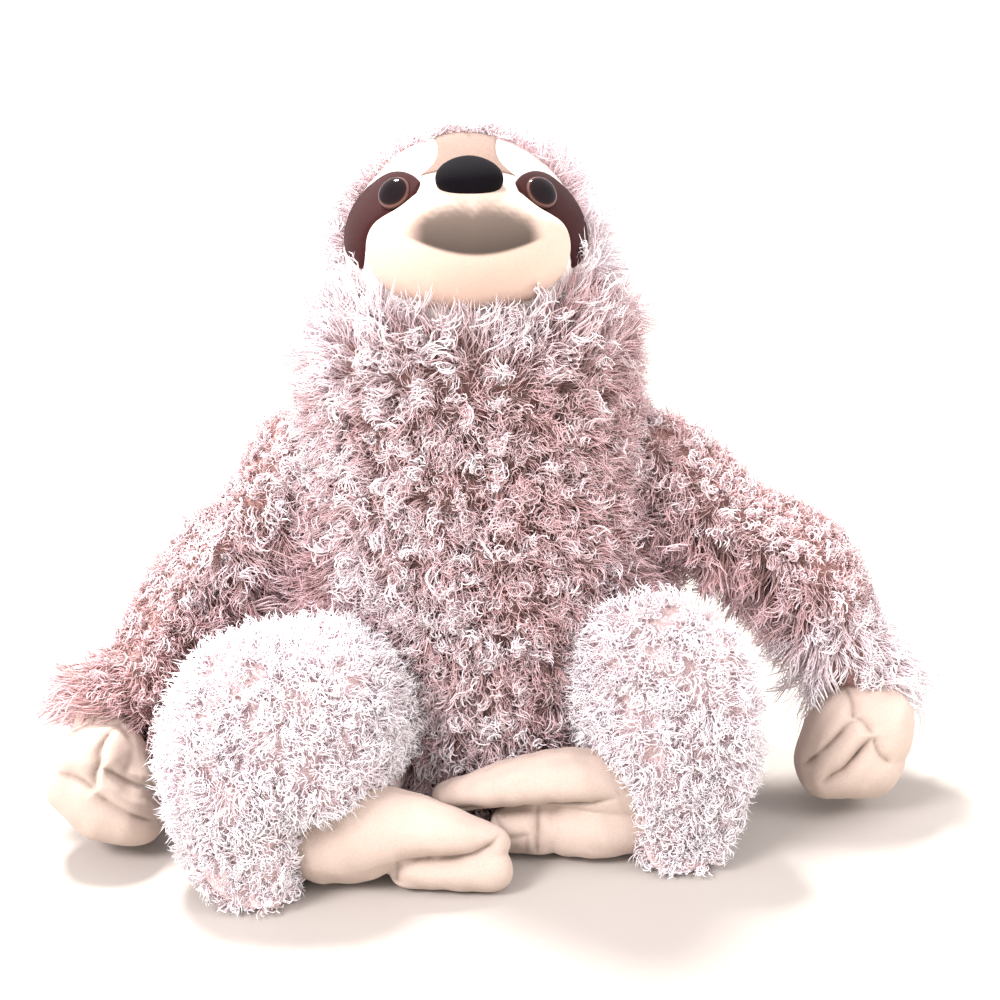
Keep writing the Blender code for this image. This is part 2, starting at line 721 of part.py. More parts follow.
def build_arm(side, materials, torso_mesh, leg_room):
    stations = arm_stations(side)
    start = shoulder(side)
    _, wrist, _ = arm_points(side)
    name = f"arm_fur_cover_{side}"
    cover = solid(name, swept_rings(stations, LIMB_SIDES, flat_end=True), materials["plush"])
    rings = swept_rings(stations, LINING_SIDES, PLUSH_WALL + SEAM_GAP, flat_end=True)
    stuffing = solid(f"arm_stuffing_{side}", rings, materials["fibre"])
    hollow = cutter_of(f"arm_hollow_{side}", swept_rings(stations, LINING_SIDES, PLUSH_WALL, flat_end=True))
    opening_radius = SHOULDER_RADIUS * ROOT_OPENING_SHARE
    way = first_way(stations)
    opening = bore(f"arm_opening_{side}", start, -way, opening_radius, 2 * SHOULDER_RADIUS)
    ball = root_ball(f"shoulder_ball_{side}", start, SHOULDER_RADIUS + SEAM_GAP, way)
    joint = (start, FORWARD * SIDE_SIGNS[side])
    room = room_cutter(f"shoulder_room_{side}", torso_mesh, ball, joint, ARM_RAISE_DEG)
    socket = ball_cutter(f"wrist_socket_{side}", wrist, HAND_ROOT_RADIUS + SOCKET_GAP)
    cut([cover], [hollow, opening])
    cut([cover, stuffing], [room, socket, leg_room])
    sleeve_rings = swept_rings(stations, LIMB_SIDES, -SEAM_GAP, flat_end=True)
    sleeve_mesh = mesh_of_rings(f"sleeve_room_{side}", sleeve_rings)
    build_hand(side, materials, sleeve_mesh, leg_room)


def finger_stations(side, palm, place):
    """A curled finger from knuckle to tip on the palm's ball, place steps along the row of fingers."""
    sign = SIDE_SIGNS[side]
    curl = Vector((sign, 0, 1)).normalized()
    row = Vector((sign, 0, -1)).normalized()
    front = (FORWARD + UP * FINGER_FACE_UP_SHARE).normalized()
    middle = palm + row * place * FINGER_SPACING
    found = []
    for along, out in FINGER_SHARES:
        ahead = out - FINGER_FALL_SHARE * abs(place)
        spot = middle + curl * HAND_RADIUS * along + front * HAND_RADIUS * ahead
        spot.z = max(spot.z, FINGER_RADIUS - FLOOR_CUT)
        found.append((*spot, FINGER_RADIUS, FINGER_RADIUS))
    return found


def build_hand(side, materials, sleeve_mesh, leg_room):
    _, wrist, palm = arm_points(side)
    stations = smooth_through((
        (*wrist, HAND_ROOT_RADIUS, HAND_ROOT_RADIUS),
        (*wrist.lerp(palm, HAND_NECK_SHARE), HAND_NECK_RADIUS, HAND_NECK_RADIUS),
        (*palm, HAND_RADIUS, HAND_RADIUS),
    ), PATH_STEPS)
    cover = solid(f"hand_cover_{side}", swept_rings(stations, LIMB_SIDES), materials["velour"])
    for place in (-1, 0, 1):
        rings = swept_rings(finger_stations(side, palm, place), SMALL_SIDES)
        boolean(cover, cutter_of(f"finger_{side}_{place + 1}", rings), "UNION")
    hollow = cutter_of(f"hand_hollow_{side}", swept_rings(stations, LINING_SIDES, VELOUR_WALL))
    rings = swept_rings(stations, LINING_SIDES, VELOUR_WALL + SEAM_GAP)
    stuffing = solid(f"hand_stuffing_{side}", rings, materials["fibre"])
    opening_radius = HAND_ROOT_RADIUS * ROOT_OPENING_SHARE
    way = first_way(stations)
    opening = bore(f"hand_opening_{side}", wrist, -way, opening_radius, 2 * HAND_ROOT_RADIUS)
    cut([cover], [hollow, opening, floor_box(f"hand_{side}", palm, 2 * HAND_RADIUS)])
    ball = root_ball(f"wrist_ball_{side}", wrist, HAND_ROOT_RADIUS + SEAM_GAP, way)
    joint = (wrist, (palm - wrist).cross(UP).normalized())
    room = room_cutter(f"wrist_room_{side}", sleeve_mesh, ball, joint, HAND_LIFT_DEG)
    cut([cover, stuffing], [room, leg_room])


def leg_sizes(side):
    if side == "right":
        return RIGHT_LEG_REACH, RIGHT_LEG_OUT, RIGHT_LEG_HALF_WIDTH, RIGHT_KNEE_HEIGHT
    return LEFT_LEG_REACH, LEFT_LEG_OUT, LEFT_LEG_HALF_WIDTH, LEFT_KNEE_HEIGHT


def leg_rings(side, inset=0.0, sides=LIMB_SIDES):
    """Rings of a leg in upright planes, from the back of the hip's ball to the front of the shin."""
    reach, out, half_width, knee = leg_sizes(side)
    start = hip(side)
    ball = HIP_RADIUS - inset
    rings = [[start - FORWARD * ball]]
    for step in range(1, CAP_STEPS + 1):
        turn = math.radians(90) * step / CAP_STEPS
        wide = ball * math.sin(turn)
        centre = start - FORWARD * ball * math.cos(turn)
        rings.append(ellipse_ring(centre, ACROSS * wide, UP * wide, sides))
    for forward, outward, wide, top in LEG_STATION_SHARES:
        high = (knee * top + FLOOR_CUT) / 2
        centre = start + FORWARD * (reach - inset) * forward + ACROSS * SIDE_SIGNS[side] * out * outward
        centre.z = high - FLOOR_CUT
        across = ACROSS * (half_width * wide - inset)
        rings.append(ellipse_ring(centre, across, UP * (high - inset), sides, LEG_ROUNDNESS_SHARE))
    end = start + FORWARD * (reach - inset) + ACROSS * SIDE_SIGNS[side] * out
    end.z = knee * LEG_END_RISE_SHARE
    return rings + [[end]]


def build_leg(side, materials, torso_mesh):
    start = hip(side)
    reach = leg_sizes(side)[0]
    cover = solid(f"leg_fur_cover_{side}", leg_rings(side), materials["plush"])
    lining_rings = leg_rings(side, PLUSH_WALL + SEAM_GAP, LINING_SIDES)
    stuffing = solid(f"leg_stuffing_{side}", lining_rings, materials["fibre"])
    hollow = cutter_of(f"leg_hollow_{side}", leg_rings(side, PLUSH_WALL, LINING_SIDES))
    opening = bore(f"leg_opening_{side}", start, -FORWARD, HIP_RADIUS * ROOT_OPENING_SHARE, 2 * HIP_RADIUS)
    ball = root_ball(f"hip_ball_{side}", start, HIP_RADIUS + SEAM_GAP, FORWARD)
    room = room_cutter(f"hip_room_{side}", torso_mesh, ball, (start, -ACROSS), lift_degrees(side))
    socket = ball_cutter(f"ankle_socket_{side}", ankle(side), FOOT_ROOT_RADIUS + SOCKET_GAP)
    cut([cover], [hollow, opening, floor_box(f"leg_{side}", start, 2 * reach)])
    cut([cover, stuffing], [room, socket])


def lift_degrees(side):
    return RIGHT_LIFT_DEG if side == "right" else LEFT_LIFT_DEG


def swept_leg(side, leg_mesh):
    """The space that a leg needs over its whole range."""
    room = None
    for turn in lift_degrees(side):
        copy = as_cutter(new_object(f"leg_room_{side}_{turn:.0f}", leg_mesh))
        copy.matrix_world = turned(hip(side), -ACROSS, turn)
        if room:
            boolean(room, copy, "UNION")
        else:
            room = copy
    return room


def foot_lobes(side):
    """The foot's long upper lobe from the ankle to its tip, and the shorter toe lobe under it."""
    start = ankle(side)
    if side == "right":
        length, high, deep = RIGHT_FOOT_LENGTH, RIGHT_FOOT_HALF_HEIGHT, RIGHT_FOOT_HALF_DEPTH
        shares = RIGHT_FOOT_SHARES
    else:
        length, high, deep = LEFT_FOOT_LENGTH, LEFT_FOOT_HALF_HEIGHT, LEFT_FOOT_HALF_DEPTH
        shares = LEFT_FOOT_SHARES
    inward = -SIDE_SIGNS[side] * length
    lobes = [
        [
            (
                start.x + inward * along,
                start.y - deep * forward,
                high * rise - FLOOR_CUT,
                deep * wide,
                high * tall,
            )
            for along, forward, rise, wide, tall in lobe
        ]
        for lobe in shares
    ]
    lobes[0].insert(0, (*start, FOOT_ROOT_RADIUS, FOOT_ROOT_RADIUS))
    return [smooth_through(lobe, PATH_STEPS) for lobe in lobes]


def crossing_room():
    """The space that the right foot, which lies in front, takes from the left one."""
    upper, _ = foot_lobes("right")
    reach = 2 * RIGHT_FOOT_LENGTH
    outline = [Vector((x, y + deep + FEET_APART, -reach)) for x, y, _, deep, _ in upper]
    tip = Vector(outline[-1]) + ACROSS * (upper[-1][3] + FEET_APART)
    outline.append(tip - Vector((0, upper[-1][3], 0)))
    outline += [outline[-1] + FORWARD * reach, outline[0] + FORWARD * reach]
    return prism("crossing_room", outline, [point + UP * 2 * reach for point in outline])


def build_foot(side, materials, leg_mesh, others):
    start = ankle(side)
    upper, toe = foot_lobes(side)
    cover = solid(f"foot_cover_{side}", swept_rings(upper, LIMB_SIDES), materials["velour"])
    rings = swept_rings(upper, LINING_SIDES, VELOUR_WALL + SEAM_GAP)
    stuffing = solid(f"foot_stuffing_{side}", rings, materials["fibre"])
    boolean(cover, cutter_of(f"toe_lobe_{side}", swept_rings(toe, SMALL_SIDES)), "UNION")
    hollow = cutter_of(f"foot_hollow_{side}", swept_rings(upper, LINING_SIDES, VELOUR_WALL))
    opening_radius = FOOT_ROOT_RADIUS * ROOT_OPENING_SHARE
    way = first_way(upper)
    opening = bore(f"foot_opening_{side}", start, -way, opening_radius, 2 * FOOT_ROOT_RADIUS)
    ball = root_ball(f"ankle_ball_{side}", start, FOOT_ROOT_RADIUS + SEAM_GAP, way)
    joint = (start, FORWARD * -SIDE_SIGNS[side])
    room = room_cutter(f"ankle_room_{side}", leg_mesh, ball, joint, FOOT_BEND_DEG)
    cut([cover], [hollow, opening, floor_box(f"foot_{side}", start, 2 * LEFT_FOOT_LENGTH)])
    cut([cover, stuffing], [room, *others])


def weld_cut_pieces():
    """Close the hairline seams that repeated cuts leave."""
    for thing in bpy.data.objects:
        if thing.modifiers and not thing.hide_render:
            weld = thing.modifiers.new("Weld", "WELD")
            weld.merge_threshold = WELD_DISTANCE


def main():
    clear_scene()
    materials = {
        "plush": plain_material("curly_plush", (0.62, 0.50, 0.49), 1.0),
        "velour": plain_material("white_velour", (0.86, 0.80, 0.75), 0.9),
        "tan_velour": plain_material("tan_velour", (0.72, 0.57, 0.50), 0.9),
        "brown_velour": plain_material("brown_velour", (0.075, 0.030, 0.028), 0.85),
        "nose": plain_material("black_nose", (0.012, 0.010, 0.011), 0.7),
        "fibre": plain_material("polyester_fibre", (0.88, 0.88, 0.87), 1.0),
        "lining": plain_material("pouch_cloth", (0.80, 0.79, 0.76), 0.9),
        "pellets": plain_material("plastic_pellets", (0.75, 0.75, 0.74), 0.5),
        "eye_brown": plain_material("brown_eye", (0.10, 0.035, 0.015), 0.05),
        "eye_black": plain_material("black_pupil", (0.005, 0.004, 0.005), 0.2),
        "washer": plain_material("white_washer", (0.80, 0.80, 0.80), 0.5),
    }
    sockets = [ball_cutter("neck_socket", head_centre(), head_plush_radius() + SOCKET_GAP, HEAD_SIDES)]
    for side in SIDE_SIGNS:
        sockets.append(ball_cutter(f"shoulder_socket_{side}", shoulder(side), SHOULDER_RADIUS + SOCKET_GAP))
        sockets.append(ball_cutter(f"hip_socket_{side}", hip(side), HIP_RADIUS + SOCKET_GAP))
    build_torso(materials, sockets)
    torso_mesh = mesh_of_rings("torso_room", torso_rings(-SEAM_GAP, -CUT_OVERRUN))
    build_head(materials)
    for side in SIDE_SIGNS:
        leg_mesh = mesh_of_rings(f"leg_room_{side}", leg_rings(side, -SEAM_GAP))
        build_leg(side, materials, torso_mesh)
        build_arm(side, materials, torso_mesh, swept_leg(side, leg_mesh))
        others = [as_cutter(new_object(f"foot_and_torso_{side}", torso_mesh))]
        if side == "left":
            others.append(crossing_room())
        build_foot(side, materials, leg_mesh, others)
    weld_cut_pieces()


main()
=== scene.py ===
"""Looks of a sitting stuffed sloth: curly plush trunk, head, arms and legs, velour face, hands and feet."""

import math

import bmesh
import bpy
import numpy as np
from mathutils import Matrix, Vector
from mathutils.bvhtree import BVHTree
from mathutils.kdtree import KDTree


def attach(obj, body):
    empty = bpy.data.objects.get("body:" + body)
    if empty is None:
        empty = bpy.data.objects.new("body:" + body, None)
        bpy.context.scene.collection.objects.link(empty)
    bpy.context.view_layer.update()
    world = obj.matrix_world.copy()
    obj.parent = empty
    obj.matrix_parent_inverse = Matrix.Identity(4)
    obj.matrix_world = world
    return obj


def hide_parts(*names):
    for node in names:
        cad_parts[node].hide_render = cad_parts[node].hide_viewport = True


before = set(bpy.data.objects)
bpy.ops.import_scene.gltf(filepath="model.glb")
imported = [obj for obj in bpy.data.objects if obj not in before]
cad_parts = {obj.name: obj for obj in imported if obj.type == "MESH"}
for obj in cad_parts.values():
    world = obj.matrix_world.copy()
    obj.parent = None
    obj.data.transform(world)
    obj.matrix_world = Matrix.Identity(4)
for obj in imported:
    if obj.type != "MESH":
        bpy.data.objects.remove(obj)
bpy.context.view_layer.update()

UP = np.array((0.0, 0.0, 1.0))
ACROSS = np.array((1.0, 0.0, 0.0))
FORWARD = np.array((0.0, -1.0, 0.0))
SIDES = {"right": -1.0, "left": 1.0}

# Camera, light and floor
CAMERA_TARGET = Vector((0.009, 0.0, 0.125))
CAMERA_DISTANCE = 0.60
CAMERA_ELEVATION_DEG = 16.0
CAMERA_LENS_MM = 49.45
SUN_FROM = (-0.28, 0.43, 1.0)
SUN_POWER = 3.7
SUN_ANGLE_DEG = 12
# place, power and colour of each lamp
LAMPS = {
    "fill": ((-0.90, -0.85, 1.05), 16.5, (1.0, 0.95, 0.97)),
    "side_fill": ((0.95, -0.35, 0.75), 4.5, (1.0, 0.96, 0.96)),
}
LAMP_SIZE = 0.5
LAMP_AIM = Vector((0, 0, 0.1))
ROOM_LIGHT = 0.62
EXPOSURE = 0.72
FLOOR_SIZE = 6.0
FLOOR_DROP = 0.0002

# Trunk: height, half-width, half-depth and lean of each level
TRUNK_LEVELS = (
    (0.0, 0.060, 0.050, 0.0), (0.009, 0.073, 0.0607, 0.0), (0.0336, 0.0785, 0.066, 0.0),
    (0.074, 0.0785, 0.066, 0.0005), (0.1165, 0.0765, 0.0643, 0.002), (0.157, 0.0734, 0.0617, 0.004),
    (0.190, 0.0695, 0.0594, 0.005), (0.2095, 0.0628, 0.0548, 0.005), (0.220, 0.0455, 0.0409, 0.005),
    (0.224, 0.020, 0.018, 0.005),
)
END_SHARE = 0.02

# Head and its parts, in the head's own frame
HEAD_PLACE = (-0.005, -0.005, 0.231)
HEAD_TILT_DEG = -26.0
HEAD_TURN_DEG = 3.0
SKULL = 0.0485
HOOD = 0.0565

# Shoulder, elbow, wrist and palm of each side
ARMS = {
    "right": np.array((
        (-0.077, 0.0, 0.148), (-0.128, -0.012, 0.093), (-0.155, -0.054, 0.044), (-0.149, -0.0765, 0.024),
    )),
    "left": np.array((
        (0.077, 0.0, 0.145), (0.149, -0.010, 0.100), (0.173, -0.022, 0.047), (0.163, -0.042, 0.024),
    )),
}
SLEEVE_RADII = (0.0235, 0.0250, 0.0265, 0.0215)
CUFF_BACK = 0.003

# Reach, out, half-width and knee height of each leg
LEGS = {"right": (0.095, 0.0285, 0.046, 0.099), "left": (0.067, 0.029, 0.0355, 0.107)}
HIP = (0.050, -0.036, 0.046)
HIP_RADIUS = 0.034
# forward, outward, width and height shares of the rings past the hip
LEG_SHARES = (
    (0.20, 0.40, 0.92, 0.90), (0.42, 0.80, 1.00, 1.00), (0.64, 1.00, 0.97, 0.95), (0.83, 1.05, 0.80, 0.77),
    (0.95, 1.00, 0.48, 0.50),
)
LEG_ROUNDNESS = 0.82
LEG_TIP_SHARE = 0.24

# Face outlines, as x and z shares of the skull's radius: outer and inner edge of the eye patch from its tip
PATCH_OUTER = (
    (0.375, 0.290), (0.430, 0.370), (0.520, 0.445), (0.620, 0.485), (0.720, 0.470), (0.815, 0.420),
    (0.900, 0.310), (0.950, 0.190), (0.968, 0.050), (0.950, -0.070), (0.905, -0.170), (0.840, -0.275),
)
PATCH_INNER = (
    (0.375, 0.270), (0.405, 0.195), (0.455, 0.115), (0.525, 0.040), (0.590, 0.020), (0.650, 0.042),
    (0.712, 0.030), (0.765, -0.010), (0.795, -0.070), (0.812, -0.135), (0.820, -0.200), (0.830, -0.280),
)
# height and half-width of the tan wedge above the nose
WEDGE_EDGES = ((0.90, 0.27), (0.78, 0.25), (0.66, 0.235), (0.55, 0.24), (0.45, 0.28), (0.35, 0.38))
MUZZLE_RADII = (0.0395, 0.0340, 0.0250)
MUZZLE_PLACE = (0.0, -0.0340, -0.0095)
NOSE_RADII = (0.0126, 0.0066, 0.0116)
NOSE_PLACE = (0.0, -0.0588, 0.0092)
NOSE_TILT_DEG = 42.0
EYE_ACROSS = 0.565
EYE_RISE = 0.215
EYE_RADIUS = 0.0069
EYE_DOME = 0.0046
EYE_FACING = 0.45

# Hands: outline and creases as shares of the hand's radius across and up, seen along the palm
HAND_RADIUS = 0.0245
HAND_DEPTHS = (0.0200, 0.0185)
HAND_OUTLINES = {
    "right": (
        (-1.02, 0.28), (-0.95, -0.07), (-0.70, -0.36), (-0.36, -0.62), (-0.08, -0.77), (0.32, -0.85),
        (0.72, -0.78), (0.88, -0.56), (0.84, -0.25), (0.68, 0.05), (0.54, 0.34), (0.46, 0.62),
        (0.31, 0.95), (0.10, 1.10), (-0.20, 1.12), (-0.55, 1.08), (-0.83, 0.93), (-0.98, 0.66),
    ),
    "left": (
        (-0.04, 1.20), (0.50, 1.18), (0.80, 1.02), (0.91, 0.75), (0.91, 0.39), (0.81, 0.04),
        (0.61, -0.24), (0.29, -0.52), (-0.18, -0.72), (-0.64, -0.76), (-0.96, -0.60), (-1.12, -0.24),
        (-1.11, 0.10), (-0.94, 0.56), (-0.67, 0.92), (-0.38, 1.12),
    ),
}
# each crease: its depth, then its points
HAND_CREASES = {
    "right": (
        (0.0046, ((0.18, 1.15), (0.06, 0.98), (0.01, 0.75), (0.02, 0.55), (-0.03, 0.38), (0.04, 0.11))),
        (0.0026, ((-0.62, 0.42), (-0.40, 0.38), (-0.23, 0.32), (-0.10, 0.24), (0.04, 0.11))),
        (0.0042, ((0.05, 0.54), (0.27, 0.38), (0.45, 0.25), (0.68, 0.12), (0.93, -0.03))),
        (0.0036, ((0.00, 0.14), (0.20, -0.04), (0.45, -0.21), (0.66, -0.33), (0.91, -0.46))),
    ),
    "left": (
        (0.0036, ((-0.27, 1.28), (-0.25, 0.99), (-0.26, 0.78), (-0.29, 0.65))),
        (0.0040, ((-0.26, 0.68), (-0.47, 0.45), (-0.68, 0.22), (-0.89, 0.01), (-1.10, -0.18))),
        (0.0052, ((0.03, 0.41), (-0.16, 0.17), (-0.34, -0.05), (-0.46, -0.19), (-0.62, -0.30),
                  (-0.85, -0.50))),
        (0.0024, ((0.03, 0.41), (0.08, 0.22), (0.18, 0.05), (0.40, -0.10))),
        (0.0030, ((-0.26, 0.69), (-0.12, 0.63), (0.03, 0.41))),
    ),
}
CREASE_WIDTH = 0.0024
DEEPEST_CREASE = 0.0050
# widths of a crease's dark thread and of the painted shade that spreads from it
FINE_LINE = 0.0007
PAINTED_SHADE_REACH = 0.0022
WRIST_RADII = (0.0125, 0.0165, 0.019)
NECK_SHARE = 0.45
HAND_FACING = 0.35
HAND_WRINKLE = 0.00035
FOOT_WRINKLE = 0.0004
SKIN_VOXEL = 0.0008
SKIN_SMOOTHING = 4
SKIN_SKIM = 0.0003
HAND_SEED = 7
FOOT_SEED = 9

# Feet: x, y, z, half-depth and half-height along each lobe, then the creases in metres across and up
FEET = {
    "right": (
        ((-0.059, -0.1010, 0.0165, 0.0165, 0.0160), (-0.046, -0.1015, 0.0200, 0.0170, 0.0190),
         (-0.030, -0.1020, 0.0225, 0.0150, 0.0150), (-0.012, -0.1035, 0.0215, 0.0120, 0.0100),
         (0.005, -0.1050, 0.0180, 0.0080, 0.0068)),
        ((-0.025, -0.1045, 0.0080, 0.0100, 0.0080), (-0.008, -0.1070, 0.0086, 0.0095, 0.0086),
         (0.006, -0.1085, 0.0086, 0.0082, 0.0084)),
    ),
    "left": (
        ((0.062, -0.0755, 0.0240, 0.0140, 0.0150), (0.050, -0.0780, 0.0290, 0.0145, 0.0132),
         (0.036, -0.0800, 0.0325, 0.0140, 0.0115), (0.018, -0.0805, 0.0310, 0.0125, 0.0098),
         (0.003, -0.0800, 0.0275, 0.0110, 0.0078), (-0.011, -0.0785, 0.0238, 0.0080, 0.0062)),
        ((0.060, -0.0780, 0.0125, 0.0140, 0.0128), (0.048, -0.0815, 0.0122, 0.0140, 0.0125),
         (0.038, -0.0820, 0.0115, 0.0125, 0.0116)),
        ((0.026, -0.0820, 0.0110, 0.0110, 0.0102), (0.014, -0.0805, 0.0105, 0.0095, 0.0096)),
    ),
}
FOOT_CREASES = {
    "right": (
        (0.0036, ((-0.0320, 0.0150), (-0.0231, 0.0142), (-0.0102, 0.0147), (-0.0028, 0.0163),
                  (0.0046, 0.0194), (0.0092, 0.0240))),
        (0.0024, ((-0.0300, 0.0160), (-0.0301, 0.0090), (-0.0305, 0.0040))),
    ),
    "left": (
        (0.0040, ((-0.0190, 0.0215), (-0.0060, 0.0222), (0.0045, 0.0216), (0.0140, 0.0220), (0.0235, 0.0240),
                  (0.0348, 0.0258), (0.0462, 0.0272), (0.0556, 0.0296))),
        (0.0034, ((0.0240, 0.0230), (0.0241, 0.0140), (0.0241, 0.0030))),
        (0.0018, ((0.0197, 0.0137), (0.0198, 0.0030))),
        (0.0022, ((0.0049, 0.0200), (0.0111, 0.0115), (0.0150, 0.0108), (0.0235, 0.0142))),
    ),
}
# where each leg gives way to its foot: inner side, top and the front that is left
NOTCHES = {"right": (-0.0700, 0.0340, -0.0900), "left": (0.0640, 0.0380, -0.0680)}

# Pile: an undercoat of fine wisps and the curled tufts that stand out of it
PILE_DEPTH = 0.0075
ELBOW_SLIMMING = 0.0070
INNER_ARM_FILL = 0.0035
PILE_OVERLAP = 0.006
GROUND_SKIM = 0.0012
FLOOR_SKIM = 0.0007
PRESS_BAND = 0.002
PRESS_FADE = 0.004
SLEEVE_REACH = (-0.182, 0.200)
SLEEVE_GIVE = 0.010
TINT_PATCH = 0.022
TRIES = 5
CLOSEST_SHARE = 0.75
MAX_FACES = 190000
UNDERCOAT = {
    "spacing": 0.0032, "strands": 7, "points": 6, "length": 0.0130, "curl": 0.0018, "turns": (0.5, 1.0),
    "tight": 1.0, "fan": 0.0024, "radii": (0.00015, 0.00026), "tint": 0.0, "gather": 0.15, "stray": 0.22,
    "reach": 1.0, "seed": 100,
}
TUFTS = {
    "spacing": 0.0054, "strands": 7, "points": 11, "length": 0.0165, "curl": 0.0021, "turns": (1.0, 1.55),
    "tight": 1.4, "fan": 0.0008, "radii": (0.00024, 0.00038), "tint": 0.60, "gather": 0.42, "stray": 0.30,
    "reach": 0.74, "seed": 200,
}
LOCK_SEED = 300
SWIRL_SEED = 400
LOCK_SPACING = 0.0125
LEG_GATHER = 0.55
# how pale each body's pile and ground are: partly the pile's own tone, partly painted light, with the legs
# and head painted paler for the stronger light on them
PALENESS_AND_PAINTED_LIGHT = {
    "torso": -0.12, "head": 0.95, "arm_right": 0.05, "arm_left": 0.05, "leg_right": 1.05, "leg_left": 1.05,
}
PALE_FROM = 0.5
# painted light and shade: how much paler the upper and the lower half of each sleeve is painted, for how the
# light falls on it
SLEEVE_PAINTED_LIGHT = {"right": (0.0, -0.80), "left": (-0.25, 0.85)}


def srgb(red, green, blue):
    """A display colour of 0 to 255 as linear numbers."""
    parts = np.array((red, green, blue)) / 255.0
    return tuple(np.where(parts <= 0.04045, parts / 12.92, ((parts + 0.055) / 1.055) ** 2.4))


# Shapes
def spline(points, steps):
    """Catmull-Rom through rows of numbers, with steps pieces between neighbours."""
    points = np.asarray(points, float)
    padded = np.concatenate((points[:1], points, points[-1:]))
    found = []
    for a, b, c, d in zip(padded, padded[1:], padded[2:], padded[3:]):
        square, cube = 2 * a - 5 * b + 4 * c - d, 3 * b - a - 3 * c + d
        for t in np.arange(steps) / steps:
            found.append(0.5 * (2 * b + (c - a) * t + square * t**2 + cube * t**3))
    return np.array(found + [points[-1]])


def step_up(values, low, high):
    """Rises smoothly from 0 at low to 1 at high."""
    t = np.clip((values - low) / (high - low), 0, 1)
    return t * t * (3 - 2 * t)


def angles(sides):
    return math.tau * np.arange(sides) / sides


def ring(centre, across, upright, sides, roundness=1.0):
    """Points round a centre: an ellipse, or squarer with a roundness under 1."""
    turn = angles(sides)
    wide = np.sign(np.cos(turn)) * np.abs(np.cos(turn)) ** roundness
    high = np.sign(np.sin(turn)) * np.abs(np.sin(turn)) ** roundness
    return np.asarray(centre) + wide[:, None] * np.asarray(across) + high[:, None] * np.asarray(upright)


def unit(rows):
    rows = np.asarray(rows, float)
    return rows / np.maximum(np.linalg.norm(rows, axis=-1, keepdims=True), 1e-12)


def quads_of(count, sides):
    """Faces of a loft of count rings."""
    at = np.arange(sides)
    after = (at + 1) % sides
    rows = np.arange(count - 1)[:, None] * sides
    return np.stack((rows + at, rows + after, rows + sides + after, rows + sides + at), -1).reshape(-1, 4)


def mesh_object(name, points, faces, material=None):
    """A smooth mesh object of faces that all have the same number of corners."""
    faces = np.asarray(faces, np.int32)
    mesh = bpy.data.meshes.new(name)
    mesh.vertices.add(len(points))
    mesh.vertices.foreach_set("co", np.asarray(points, np.float32).ravel())
    mesh.loops.add(faces.size)
    mesh.loops.foreach_set("vertex_index", faces.ravel())
    mesh.polygons.add(len(faces))
    mesh.polygons.foreach_set("loop_start", np.arange(0, faces.size, faces.shape[1], dtype=np.int32))
    mesh.polygons.foreach_set("use_smooth", np.ones(len(faces), bool))
    mesh.update(calc_edges=True)
    thing = bpy.data.objects.new(name, mesh)
    bpy.context.scene.collection.objects.link(thing)
    if material:
        mesh.materials.append(material)
    return thing


def loft(name, rings, material=None):
    """A closed body through rings, whose first and last ring are drawn to a point."""
    rings = np.asarray(rings)
    count, sides = rings.shape[:2]
    thing = mesh_object(name, rings.reshape(-1, 3), quads_of(count, sides), material)
    bm = bmesh.new()
    bm.from_mesh(thing.data)
    bmesh.ops.remove_doubles(bm, verts=bm.verts, dist=1e-6)
    bmesh.ops.holes_fill(bm, edges=[edge for edge in bm.edges if edge.is_boundary])
    bmesh.ops.recalc_face_normals(bm, faces=bm.faces)
    bm.to_mesh(thing.data)
    bm.free()
    return thing


def tube(stations, sides=32, caps=8, flat_end=False):
    """Rings that follow rows of (x, y, z, half-width, half-height), with ball ends or a flatter last one."""
    stations = np.asarray(stations)
    centres = stations[:, :3]
    ways = unit(np.gradient(centres, axis=0))
    rings = []
    for centre, way, (wide, high) in zip(centres, ways, stations[:, 3:5]):
        side = unit(np.cross(way, UP))
        rings.append(ring(centre, side * wide, np.cross(side, way) * high, sides))
    first, last = [], []
    for step in range(1, caps + 1):
        turn = math.radians(90) * step / caps
        for found, end, sign in ((first, 0, -1), (last, -1, 1)):
            wide = stations[end, 3] * (0.25 if sign > 0 and flat_end else 1)
            middle = centres[end] + sign * ways[end] * wide * math.sin(turn)
            found.append(middle + (rings[end] - centres[end]) * math.cos(turn))
    return np.array(first[::-1] + rings + last)


def trunk_rings(sides=72, steps=6):
    levels = spline(TRUNK_LEVELS, steps)
    rings = [
        ring((-lean, 0, height), ACROSS * wide, FORWARD * deep, sides) for height, wide, deep, lean in levels
    ]
    top = np.array((-TRUNK_LEVELS[-1][3], 0, TRUNK_LEVELS[-1][0]))
    return np.array([rings[0] * (END_SHARE, END_SHARE, 1), *rings, top + (rings[-1] - top) * END_SHARE])


def arm_stations(side, steps=7):
    start, elbow, wrist, _ = ARMS[side]
    centres = (start, (start + elbow) / 2, elbow, wrist - unit(wrist - elbow) * CUFF_BACK)
    return spline([(*centre, radius, radius) for centre, radius in zip(centres, SLEEVE_RADII)], steps)


def leg_rings(side, sides=56, steps=5):
    reach, out, half_width, knee = LEGS[side]
    start = np.array(HIP) * (SIDES[side], 1, 1)
    rings = [np.repeat([start - FORWARD * HIP_RADIUS], sides, 0)]
    for step in range(1, 4):
        turn = math.radians(30) * step
        wide = HIP_RADIUS * math.sin(turn)
        rings.append(ring(start - FORWARD * HIP_RADIUS * math.cos(turn), ACROSS * wide, UP * wide, sides))
    for forward, outward, wide, top in LEG_SHARES:
        high = knee * top / 2
        centre = start + FORWARD * reach * forward + ACROSS * SIDES[side] * out * outward
        centre[2] = high
        rings.append(ring(centre, ACROSS * half_width * wide, UP * high, sides, LEG_ROUNDNESS))
    end = start + FORWARD * reach + ACROSS * SIDES[side] * out
    end[2] = knee * LEG_TIP_SHARE
    rings.append(np.repeat([end], sides, 0))
    found = spline(rings, steps)
    found[..., 2] = np.maximum(found[..., 2], 0.0)
    return found


